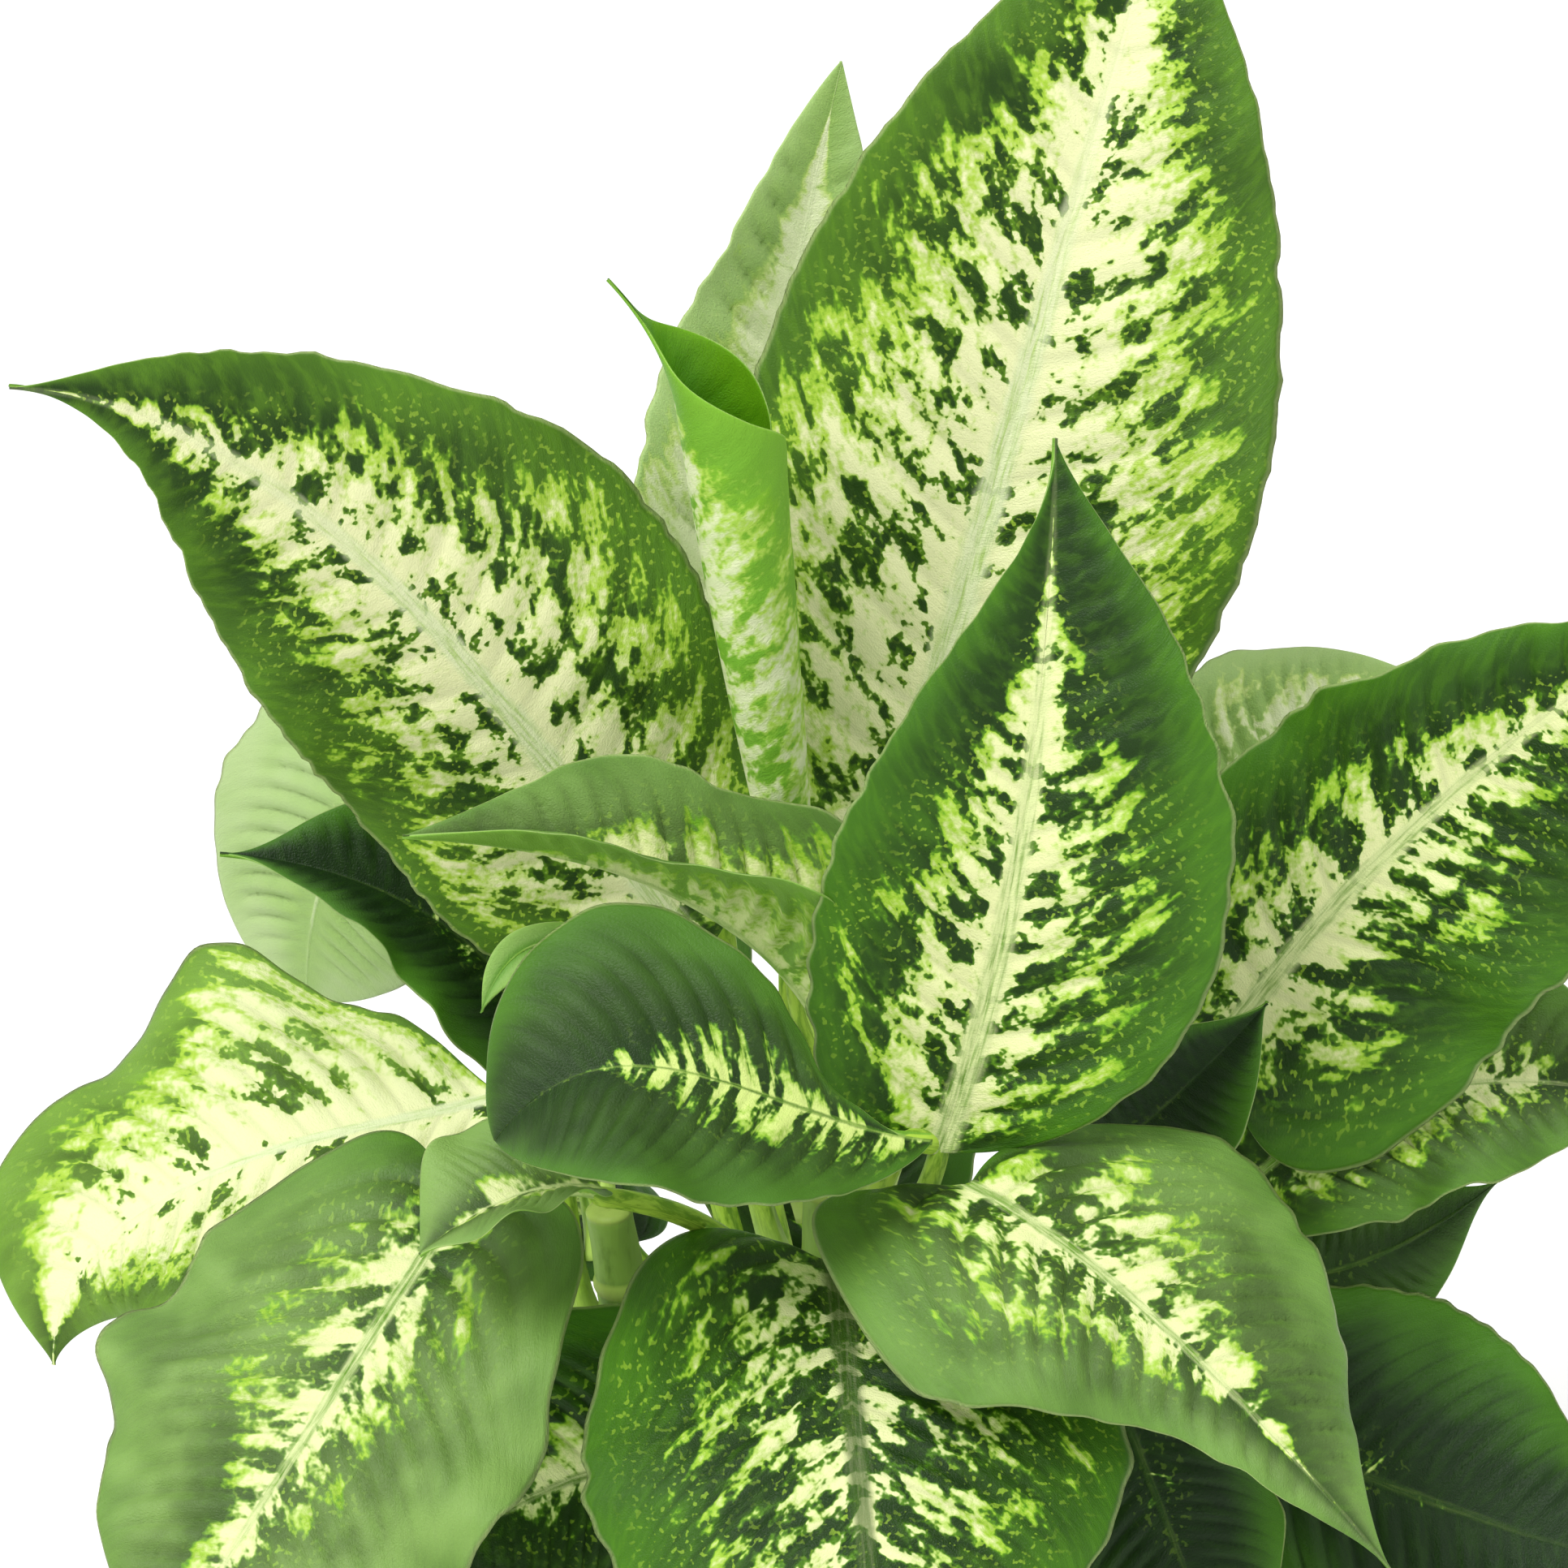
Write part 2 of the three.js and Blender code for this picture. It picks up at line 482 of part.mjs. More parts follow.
// The blade as one closed solid of even thickness, with the rib under its midrib.
function bladeSolid(leaf) {
  const [rows, columns] = leaf.cells;
  const points = [];
  const triangles = [];
  const upper = [];
  const lower = [];
  for (let i = 0; i <= rows; i++) {
    const u = 0.5 - 0.5 * Math.cos((Math.PI * i) / rows);
    const atEnd = i === 0 || i === rows;
    upper.push([]);
    lower.push([]);
    for (let j = 0; j <= columns; j++) {
      if (atEnd && j > 0) {
        upper[i].push(upper[i][0]);
        lower[i].push(lower[i][0]);
        continue;
      }
      const v = atEnd ? 0 : (2 * j) / columns - 1;
      const middle = bladeAt(leaf, u, v);
      const normal = bladeNormal(leaf, u, v);
      const rib = v === 0 && !leaf.roll ? RIB_DEPTH + (RIB_DEPTH_AT_TIP - RIB_DEPTH) * u : 0;
      upper[i].push(points.length);
      points.push(middle.clone().addScaledVector(normal, BLADE_THICKNESS / 2));
      lower[i].push(points.length);
      points.push(middle.clone().addScaledVector(normal, -BLADE_THICKNESS / 2 - rib));
    }
  }
  const addFaces = (faces, flip) => {
    for (const [a, b, c] of faces) {
      if (a === b || b === c || c === a) continue;
      if (flip) triangles.push(a, c, b);
      else triangles.push(a, b, c);
    }
  };
  for (let i = 0; i < rows; i++) {
    for (let j = 0; j < columns; j++) {
      const diagonalUp = (i + j) % 2 === 0;
      for (const [grid, flip] of [[upper, false], [lower, true]]) {
        const a = grid[i][j];
        const b = grid[i][j + 1];
        const c = grid[i + 1][j + 1];
        const d = grid[i + 1][j];
        addFaces(diagonalUp ? [[a, b, c], [a, c, d]] : [[a, b, d], [b, c, d]], flip);
      }
    }
    for (const [j, flip] of [[0, false], [columns, true]]) {
      const a = upper[i][j];
      const b = upper[i + 1][j];
      const c = lower[i + 1][j];
      const d = lower[i][j];
      addFaces([[a, b, c], [a, c, d]], flip);
    }
  }
  return solidOf(points, triangles);
}

// The stalk: it leaves the cane upward and outward and runs out under the midrib.
function stalkSolid(leaf) {
  const cane = CANES[leaf.cane];
  const slim = Math.min(1, leaf.width / 40 + 0.25);
  const end = vec(leaf.base);
  const foot = caneAxisAt(cane, leaf.from);
  const outward = end.clone().sub(foot).setZ(0).normalize();
  outward.applyAxisAngle(new THREE.Vector3(0, 0, 1), radians(leaf.turn));
  const rootRadius = STALK_ROOT_RADIUS * slim;
  const start = foot.clone();
  if (leaf.onTop) start.z += TOP_SEAT_GAP;
  else start.addScaledVector(outward, caneRadiusAt(cane, leaf.from) + FIT_GAP + rootRadius);
  const { along, up } = midribFrame(leaf, 0);
  const span = start.distanceTo(end);
  const leave = outward.clone().multiplyScalar(leaf.onTop ? 0 : STALK_LEAN);
  leave.z += 1;
  leave.normalize().multiplyScalar(span);
  const rise = new THREE.Vector3(0, 0, STALK_ARRIVAL_RISE);
  const arrive = leaf.arrive ? vec(leaf.arrive) : along.clone().add(rise);
  arrive.normalize().multiplyScalar(span);
  const path = [];
  const radii = [];
  for (let i = 0; i <= STALK_STEPS; i++) {
    const t = i / STALK_STEPS;
    const point = start.clone().multiplyScalar(2 * t ** 3 - 3 * t ** 2 + 1);
    point.addScaledVector(leave, t ** 3 - 2 * t ** 2 + t);
    point.addScaledVector(end, 3 * t ** 2 - 2 * t ** 3);
    point.addScaledVector(arrive, t ** 3 - t ** 2);
    point.addScaledVector(vec(leaf.bow), 4 * t * (1 - t));
    path.push(point);
    radii.push(slim * (STALK_ROOT_RADIUS + (STALK_END_RADIUS - STALK_ROOT_RADIUS) * t ** 0.7));
  }
  if (!leaf.onTop) {
    const lean = path[1].clone().sub(path[0]).normalize().z;
    path[0].addScaledVector(outward, -rootRadius * (1 - lean) * STALK_SEAT_SHARE);
  }
  path[STALK_STEPS].addScaledVector(up, -slim * STALK_END_RADIUS * STALK_SINK);
  STALK_RUNOUT.forEach((u, i) => {
    const share = (i + 1) / STALK_RUNOUT.length;
    const radius = slim * (STALK_END_RADIUS + (STALK_RUNOUT_RADIUS - STALK_END_RADIUS) * share);
    path.push(midribAt(leaf, u).addScaledVector(midribFrame(leaf, u).up, -radius * STALK_SINK));
    radii.push(radius);
  });
  const towardCane = leaf.onTop ? new THREE.Vector3(1, 0, 0) : outward.clone().negate();
  return barAlong(path, radii, STALK_SIDES, towardCane);
}

// ---- Pot and soil --------------------------------------------------------
// Radius of the inside of the pot at height z.
function potInsideRadius(z) {
  const share = (z - POT_FLOOR) / (POT_HEIGHT - POT_RIM_DEPTH - POT_FLOOR);
  const foot = POT_FOOT_RADIUS - POT_WALL;
  return foot + (POT_BODY_TOP_RADIUS - POT_WALL - foot) * share;
}

function potSolid() {
  const rimFoot = POT_HEIGHT - POT_RIM_DEPTH;
  const profile = [
    [0, 0],
    [POT_FOOT_RADIUS - 1.5, 0],
    [POT_FOOT_RADIUS, 1.5],
    [POT_BODY_TOP_RADIUS, rimFoot],
    [POT_RIM_RADIUS - 2, rimFoot + 1],
    [POT_RIM_RADIUS - 1, rimFoot + 2],
    [POT_RIM_RADIUS, POT_HEIGHT - 1.5],
    [POT_RIM_RADIUS - 1, POT_HEIGHT],
    [POT_RIM_RADIUS - POT_WALL, POT_HEIGHT],
    [POT_RIM_RADIUS - POT_WALL - 1, POT_HEIGHT - 1],
    [POT_BODY_TOP_RADIUS - POT_WALL + 1.5, rimFoot + 3],
    [POT_BODY_TOP_RADIUS - POT_WALL, rimFoot],
    [POT_FOOT_RADIUS - POT_WALL, POT_FLOOR],
    [0, POT_FLOOR],
  ].map(([r, z]) => new THREE.Vector2(r, z));
  const lathe = new THREE.LatheGeometry(profile, POT_SIDES).rotateX(Math.PI / 2);
  let pot = solidOfGeometry(lathe);
  for (let i = 0; i < DRAIN_HOLE_COUNT; i++) {
    const angle = (2 * Math.PI * (i + 0.5)) / DRAIN_HOLE_COUNT;
    const hole = new THREE.CylinderGeometry(DRAIN_HOLE_RADIUS, DRAIN_HOLE_RADIUS, 12, 12);
    hole.rotateX(Math.PI / 2);
    hole.translate(DRAIN_HOLE_RING * Math.cos(angle), DRAIN_HOLE_RING * Math.sin(angle), 2);
    pot = pot.subtract(solidOfGeometry(hole));
  }
  return pot;
}

function soilSolid() {
  const floor = POT_FLOOR + FIT_GAP;
  const gap = FIT_GAP / Math.cos(Math.PI / POT_SIDES) + 0.1;
  const profile = [
    new THREE.Vector2(0, floor),
    new THREE.Vector2(potInsideRadius(floor) - gap, floor),
    new THREE.Vector2(potInsideRadius(SOIL_EDGE_HEIGHT) - gap, SOIL_EDGE_HEIGHT),
  ];
  for (const share of [0.75, 0.5, 0.25]) {
    const radius = (potInsideRadius(SOIL_EDGE_HEIGHT) - gap) * share;
    profile.push(new THREE.Vector2(radius, soilHeightAt(radius)));
  }
  profile.push(new THREE.Vector2(0, SOIL_CROWN_HEIGHT));
  const lathe = new THREE.LatheGeometry(profile, POT_SIDES).rotateX(Math.PI / 2);
  let soil = solidOfGeometry(lathe);
  for (const cane of Object.values(CANES)) soil = soil.subtract(caneSolid(cane, FIT_GAP));
  return soil;
}

// ---- The plant -----------------------------------------------------------
const plant = new THREE.Group();
plant.name = "potted_dieffenbachia";
plant.add(meshOf("pot", potSolid(), POT_COLOUR, POT_ROUGHNESS));
plant.add(meshOf("soil", soilSolid(), SOIL_COLOUR, SOIL_ROUGHNESS));
for (const [name, cane] of Object.entries(CANES)) {
  const shoot = new THREE.Group();
  shoot.name = name.replace("cane", "shoot");
  shoot.add(meshOf(name, caneSolid(cane, 0), CANE_COLOUR, CANE_ROUGHNESS));
  for (const entry of LEAVES.filter((each) => each.cane === name)) {
    const leaf = { ...LEAF_DEFAULTS, ...entry };
    const solid = bladeSolid(leaf).add(stalkSolid(leaf));
    shoot.add(meshOf(leaf.name, solid, LEAF_COLOUR, LEAF_ROUGHNESS));
  }
  plant.add(shoot);
}

export default plant;
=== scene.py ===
"""Potted dieffenbachia: builds the plant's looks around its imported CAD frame.

Blender 4.5. Sizes in the tables are millimetres, as in the part; meshes are in metres.
The leaves, canes, soil and pot are surfaces of two parameters worked out with numpy.
"""

import math

import bpy
import numpy as np
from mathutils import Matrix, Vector


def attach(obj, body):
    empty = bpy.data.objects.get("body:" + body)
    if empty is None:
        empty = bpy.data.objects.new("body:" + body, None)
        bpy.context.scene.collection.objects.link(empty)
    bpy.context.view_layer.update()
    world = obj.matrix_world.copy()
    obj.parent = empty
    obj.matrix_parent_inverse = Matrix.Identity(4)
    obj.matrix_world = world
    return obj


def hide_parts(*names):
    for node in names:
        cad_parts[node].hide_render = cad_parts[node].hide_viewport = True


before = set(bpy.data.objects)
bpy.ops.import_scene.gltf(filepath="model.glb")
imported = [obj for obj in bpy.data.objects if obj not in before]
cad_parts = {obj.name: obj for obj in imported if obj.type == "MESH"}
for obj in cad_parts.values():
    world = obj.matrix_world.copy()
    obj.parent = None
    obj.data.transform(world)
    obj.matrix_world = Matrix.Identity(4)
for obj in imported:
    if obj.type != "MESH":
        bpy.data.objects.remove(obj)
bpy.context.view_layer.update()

bl_info = {
    "name": "Potted dieffenbachia",
    "version": (1, 0, 0),
    "blender": (4, 5, 0),
    "location": "3D View > Sidebar > Plant",
    "description": "Variegated leaves on jointed canes, in soil in a plain pot, on a pale stage",
    "category": "Add Mesh",
}

MM = 0.001
CM = 0.1  # pattern coordinates are centimetres on the leaf: millimetres times this

# ---- Sizes shared with the part (mm) ------------------------------------------
POT_HEIGHT = 122
POT_FOOT_RADIUS = 49
POT_BODY_TOP_RADIUS = 64
POT_RIM_RADIUS = 70
POT_RIM_DEPTH = 16
POT_WALL = 2.6
POT_FLOOR = 4
DRAIN_HOLE_RADIUS = 4
DRAIN_HOLE_COUNT = 6
DRAIN_HOLE_RING = 32
SOIL_EDGE_HEIGHT = 106
SOIL_CROWN_HEIGHT = 110
FIT_GAP = 0.3
TOP_SEAT_GAP = 0.55
CANE_BURIED_DEPTH = 24
CANE_FOOT_RADIUS = 6.2
CANE_TOP_RADIUS = 4.4
CANE_JOINT_SPACING = 17
CANE_JOINT_SWELL = 0.5
STALK_ROOT_RADIUS = 3.0
STALK_END_RADIUS = 1.9
STALK_LEAN = 0.45
STALK_ARRIVAL_RISE = 0.9
RIB_DEPTH = 1.3
RIB_DEPTH_AT_TIP = 0.2

# ---- What the looks add to the part's shapes (mm) --------------------------------
VEIN_SLANT = 0.42  # how far a side vein runs forward per millimetre out
VEIN_BEND = 0.006  # what each further millimetre out adds to that
VEIN_SWEEP = 0.18  # what the margin adds to that
VEIN_WANDER = 0.8
VEIN_WANDER_LENGTH = 40
MARGIN_FLUTTER = 0.9  # in the plane of the blade
MARGIN_FLUTTER_LENGTH = 8
MARGIN_RIPPLE = 0.55  # out of the plane of the blade
MARGIN_RIPPLE_LENGTH = 13
SHEET_RIPPLE = 0.5
SHEET_RIPPLE_LENGTH = 26
ROLLED_RELIEF = 0.35  # share of the relief that a rolled leaf keeps
MIDRIB_RISE = 0.32
FLAME_WAVER = 0.3  # as a share of the flame's width
FLAME_WAVER_LENGTH = 34
SHEATH_FLARE = 0.28  # as a share of the stalk's radius
STALK_GROOVE = 0.26  # as a share of the stalk's radius
CANE_RING_GROOVE = 0.28
CANE_RIPPLE = 0.22
CANE_RIPPLE_LENGTH = 7
SOIL_SIDE_GAP = 0.45
SOIL_RIPPLES = ((1.3, 17, 3), (0.9, 5, 4), (0.5, 2.3, 6))  # height, length, seed
CRUMB_COUNT = 420

# Points round each turned or tubular piece, and rows along a cane and the top's dome.
STALK_SIDES = 18
CANE_SIDES = 32
POT_SIDES = 144
SOIL_SIDES = 180
CANE_ROWS = 260
CANE_DOME_ROWS = 7

# ---- Stage (metres) ---------------------------------------------------------------
# Each light: where it stands, and the side of its square.
LIGHTS = {
    "key": ((-4.0, -4.5, 8.0), 4.5),
    "fill": ((7.5, -3.5, 4.0), 6.0),
    "top": ((0.5, 1.5, 9.0), 6.0),
}
LIGHT_AIM = (0, 0, 0.26)
CAMERA_AIM = (-0.005, 0, 0.285)
FLOOR_REACH = 60
SENSOR_WIDTH = 36  # millimetres

# ---- Canes and leaves, as in the part (mm) -----------------------------------------
CANES = {
    "cane_centre": dict(foot=(4, 10), top=(3, 5, 214)),
    "cane_front": dict(foot=(12, -26), top=(14, -34, 196)),
    "cane_right": dict(foot=(36, 4), top=(46, 0, 196)),
    "cane_left": dict(foot=(-30, -12), top=(-38, -18, 206)),
    "cane_back": dict(foot=(6, 40), top=(8, 48, 190)),
}

# base, mid, tip: three points of the midrib. face: where the upper side looks.
# fold, curl: degrees (left, right) at the midrib and down toward the margin.
# wave: (height, number, phase) of the margin's waves. widest: share of the length there.
# taper, blunt: exponents of the outline in front of and behind it. lobe: reach back.
# hook: S-bend. drip: last stretch aside. roll: radius of the rolled half, base and tip.
# ruffle: (share, number, phase) of the margin's scallops, left and right.
LEAVES = (
    dict(name="leaf_tall_right", cane="cane_centre", leaves_at=186, base=(14, 22, 254),
         mid=(39, 34, 350), tip=(66, 62, 441), face=(0.05, -1, 0.3), width=98, fold=(10, 10),
         curl=(14, 14), wave=(3, 2.5, 0.5), widest=0.42, taper=(0.75, 0.75), acumen=0.5,
         lobe=(4, 4)),
    dict(name="leaf_big_left", cane="cane_centre", leaves_at=174, base=(-20, 12, 243),
         mid=(-68, -7, 319), tip=(-138, -36, 377), face=(-0.15, -1, 0.55), width=82, skew=0.01,
         fold=(10, 10), curl=(14, 14), wave=(2.5, 3.5, 0), widest=0.34, taper=(1.25, 0.85),
         acumen=1, hook=(0, 0, 6), lobe=(3, 3), blunt=(0.7, 1.1),
         ruffle=((0.2, 0.6, -2.4), (0.15, 1.4, -3.2))),
    dict(name="leaf_boat_left", cane="cane_centre", leaves_at=160, base=(3, -18, 243),
         mid=(-25, -27, 276), tip=(-73, -37, 292), face=(-0.2, -0.35, 1), width=56, skew=-0.12,
         fold=(70, 40), curl=(20, 0), wave=(1.5, 2, 0), widest=0.3, taper=(1, 0.8),
         ruffle=((0.3, 2.5, 1.6), (0.12, 2, -1.6))),
    dict(name="leaf_back_tall_left", cane="cane_centre", leaves_at=148, base=(-17, 45, 265),
         mid=(-8, 70, 329), tip=(6, 95, 394), face=(0.45, -1, 0.2), width=58, fold=(10, 10),
         curl=(10, 10), wave=(2.5, 2.5, 0), widest=0.25, taper=(0.8, 0.8), acumen=0.3),
    dict(name="leaf_pale_back_left", cane="cane_centre", leaves_at=134, base=(-70, 60, 272),
         mid=(-95, 78, 235), tip=(-104, 95, 191), face=(-0.3, -0.9, 0.5), width=64, fold=(0, 0),
         curl=(10, 10), wave=(1, 2, 0), widest=0.5, taper=(0.55, 0.4), acumen=0.1),
    dict(name="leaf_rolled", cane="cane_centre", leaves_at=214, on_top=True, base=(-1, 1, 238),
         mid=(-17, -4, 316), tip=(-27, -8, 388.5), face=(1, 0.15, 0.15), width=58,
         roll=((2.8, 11.5), (2, 9.8)), drip=(-9, 0, -2), wave=(0.6, 2, 0), widest=0.72,
         taper=(4.6, 2), acumen=0.3, blunt=(1, 1)),
    dict(name="leaf_bud_sheath", cane="cane_centre", leaves_at=200, base=(-6, 15, 254),
         mid=(-12.5, 14.5, 290), tip=(-17.5, 11.5, 326), face=(-0.6, -0.8, 0), width=10,
         fold=(10, 10), curl=(10, 10), wave=(0, 2, 0), widest=0.3, taper=(0.8, 0.8), acumen=0.4),
    dict(name="leaf_front_upright", cane="cane_front", leaves_at=196, on_top=True,
         base=(23, -51, 236), mid=(37, -46, 298), tip=(42, -32, 366), face=(0, -1, 0.25), width=73,
         skew=0.07, fold=(10, 14), curl=(12, 4), wave=(2, 2, 0), widest=0.42, taper=(1.6, 0.95),
         lobe=(6, 0), blunt=(0.45, 0.75), ruffle=((0.08, 0.8, 1.4), (0, 1, 0))),
    dict(name="leaf_centre_dome", cane="cane_front", leaves_at=184, turn=-30, base=(21, -68, 247),
         mid=(-20, -78, 265.5), tip=(-55, -82, 255), face=(-0.1, -0.75, 0.8), width=59, skew=0.02,
         fold=(25, 10), curl=(0, 20), wave=(1.5, 3, 0), widest=0.64, taper=(0.5, 0.72), acumen=0.2,
         blunt=(0.9, 2.7), lobe=(0, 0), arrive=(0.1, -1, 0.35), bow=(-3, -1, 3), hook=(0, 0, 4),
         ruffle=((0, 1, 0), (0.04, 3, 1.6))),
    dict(name="leaf_front_centre", cane="cane_front", leaves_at=150, base=(4.2, -64.8, 219.3),
         mid=(8.5, -108, 198), tip=(13, -138, 151), face=(0, -0.75, 0.8), width=98, fold=(5, 5),
         curl=(25, 25), wave=(1.5, 3, 0), widest=0.4, lobe=(8, 20)),
    dict(name="leaf_front_right", cane="cane_front", leaves_at=166, base=(28, -65, 236),
         mid=(60, -91, 223.5), tip=(100, -120, 191), face=(0.25, -0.5, 1), width=76, skew=-0.17,
         fold=(6, 6), curl=(25, 25), wave=(1.5, 3, 0), widest=0.36, lobe=(12, 20), acumen=0.9,
         ruffle=((0, 1, 0), (0.4, 1, 0.3)), blunt=(1, 0.45), taper=(1, 1.4)),
    dict(name="leaf_small_fold_left", cane="cane_front", leaves_at=170, base=(-37, -62, 233.5),
         mid=(-52, -72, 238), tip=(-69, -80, 231), face=(-0.2, -0.5, 1), width=29, fold=(35, 15),
         curl=(10, 10), wave=(2, 3, 0), widest=0.6, bow=(0, 4, 10), skew=0.25, blunt=(1, 1.6),
         taper=(0.8, 0.8)),
    dict(name="leaf_dark_low_left", cane="cane_front", leaves_at=130, base=(-18, -50, 170),
         mid=(-46, -60, 171), tip=(-79, -70, 154), face=(-0.2, -1, 0.4), width=62, fold=(10, 10),
         curl=(20, 20), wave=(1.5, 3, 0), widest=0.42),
    dict(name="leaf_right_big", cane="cane_right", leaves_at=196, on_top=True, base=(77, -5, 233),
         mid=(111, -12, 283), tip=(157, -30, 333), face=(0.1, -1, 0.55), width=76, skew=0.16,
         fold=(10, 10), curl=(14, 14), wave=(3, 3, 0), widest=0.36, taper=(0.9, 0.9), lobe=(8, 16),
         ruffle=((0.025, 6, 0), (0.12, 1.6, 0.9))),
    dict(name="leaf_right_behind", cane="cane_right", leaves_at=180, base=(75, 40, 239),
         mid=(92, 60, 264), tip=(121, 78, 273), face=(0.1, -0.8, 1), width=48, fold=(12, 12),
         curl=(20, 20), wave=(2, 2, 0), widest=0.45),
    dict(name="leaf_right_low", cane="cane_right", leaves_at=172, base=(86, -1, 203),
         mid=(120, -3, 223), tip=(164, -6, 220), face=(0.2, -0.6, 0.9), width=56, fold=(20, 10),
         curl=(15, 15), wave=(2.5, 2.5, 0), widest=0.42, skew=-0.15),
    dict(name="leaf_right_under", cane="cane_right", leaves_at=158, base=(86, -10, 186),
         mid=(107, -10, 190), tip=(131, -5, 204), face=(0, -0.9, 0.5), width=32, fold=(5, 5),
         curl=(15, 15), wave=(1, 2, 0), widest=0.42, taper=(1, 1.4)),
    dict(name="leaf_dark_right", cane="cane_right", leaves_at=132, base=(70, -30, 171.5),
         mid=(112, -45, 159.5), tip=(155, -60, 152.5), face=(0.2, -0.9, 0.6), width=74,
         fold=(6, 6), curl=(20, 20), wave=(1.5, 3, 0), widest=0.45),
    dict(name="leaf_dark_centre_right", cane="cane_right", leaves_at=144, base=(55, -50, 187),
         mid=(66, -67, 164), tip=(78, -82, 136), face=(0.2, -0.8, 0.6), width=46, fold=(6, 6),
         curl=(20, 20), wave=(1, 3, 0), widest=0.45),
    dict(name="leaf_small_dark_right", cane="cane_right", leaves_at=186, base=(52, -15, 212),
         mid=(68, -22, 232), tip=(83, -30, 255), face=(0.3, -0.7, 0.7), width=34, fold=(30, 30),
         curl=(10, 10), wave=(1.5, 2, 0), widest=0.42),
    dict(name="leaf_low_right", cane="cane_right", leaves_at=122, base=(80, -25, 138),
         mid=(112, -34, 150), tip=(150, -42, 144), face=(0.3, -0.6, 0.9), width=36, fold=(10, 10),
         curl=(20, 20), wave=(1, 2, 0), widest=0.4),
    dict(name="leaf_dark_left", cane="cane_left", leaves_at=190, base=(-50, 14, 224),
         mid=(-75, 18, 250), tip=(-112, 18, 262), face=(-0.4, -0.7, 0.8), width=52, fold=(60, 15),
         curl=(10, 10), wave=(1.5, 3, 0), widest=0.4, acumen=1, taper=(1, 1.2)),
    dict(name="leaf_cream_left", cane="cane_left", leaves_at=176, base=(-57, -8, 224),
         mid=(-104, -14, 214), tip=(-152, -24, 180), face=(-0.3, -0.6, 1), width=76, skew=0.25,
         fold=(0, 0), curl=(20, 15), wave=(4, 2.5, 0), widest=0.5, taper=(0.55, 0.4), lobe=(0, 0),
         blunt=(0.45, 1.3), acumen=1, hook=(0, 0, 3), drip=(9, -2, -4),
         ruffle=((0.06, 3, 0), (0.13, 2.4, 0.6))),
    dict(name="leaf_front_left", cane="cane_left", leaves_at=164, base=(-65, -50, 222),
         mid=(-89, -85, 198), tip=(-120, -112, 157), face=(-0.35, -0.9, 0.6), width=82, skew=0.04,
         fold=(5, 5), curl=(20, 20), wave=(3.5, 4, 0), widest=0.5, lobe=(22, 18),
         blunt=(0.6, 0.45), ruffle=((0.03, 3, 1), (0.09, 3.2, -2.45))),
    dict(name="leaf_small_bud_left", cane="cane_left", leaves_at=206, on_top=True,
         base=(-45, -20, 262.5), mid=(-54, -26, 262.5), tip=(-60.2, -30, 253),
         face=(-0.2, -1, 0.3), width=8, fold=(20, 20), curl=(10, 10), wave=(0, 2, 0), widest=0.4,
         taper=(0.9, 0.9)),
    dict(name="leaf_back_upright", cane="cane_back", leaves_at=190, on_top=True,
         base=(16, 52, 232), mid=(24, 74, 285), tip=(30, 104, 330), face=(0, -1, 0.4), width=62,
         fold=(12, 12), curl=(14, 14), wave=(2, 3, 1), widest=0.4),
    dict(name="leaf_back_centre", cane="cane_back", leaves_at=124, base=(6, 62, 150),
         mid=(3, 88, 166), tip=(-2, 124, 146), face=(0, 0.5, 1), width=64, fold=(8, 8),
         curl=(20, 20), wave=(2, 3, 2), widest=0.4),
    dict(name="leaf_back_left", cane="cane_back", leaves_at=166, base=(-26, 66, 204),
         mid=(-52, 94, 218), tip=(-76, 120, 194), face=(-0.4, 0.3, 1), width=60, fold=(8, 8),
         curl=(18, 18), wave=(2, 3, 0), widest=0.4),
    dict(name="leaf_back_right", cane="cane_back", leaves_at=174, base=(42, 64, 206),
         mid=(74, 90, 218), tip=(108, 112, 188), face=(0.4, 0.3, 1), width=62, fold=(8, 8),
         curl=(18, 18), wave=(2, 3, 1), widest=0.4),
    dict(name="leaf_back_low_right", cane="cane_back", leaves_at=138, base=(48, 56, 160),
         mid=(84, 74, 166), tip=(120, 90, 136), face=(0.4, 0.2, 1), width=56, fold=(8, 8),
         curl=(20, 20), wave=(1.5, 3, 2), widest=0.4),
    dict(name="leaf_back_low_left", cane="cane_back", leaves_at=130, base=(-36, 52, 158),
         mid=(-72, 66, 164), tip=(-104, 78, 134), face=(-0.4, 0.2, 1), width=58, fold=(8, 8),
         curl=(20, 20), wave=(1.5, 3, 1), widest=0.4),
)

LEAF_DEFAULTS = dict(
    skew=0, turn=0, taper=(1, 1), blunt=(0.45, 0.45), acumen=0.6, lobe=(6, 6),
    hook=(0, 0, 0), drip=(0, 0, 0), bow=(0, 0, 0), arrive=None, fold=(0, 0), curl=(0, 0),
    roll=None, on_top=False, ruffle=((0, 1, 0), (0, 1, 0)),
)

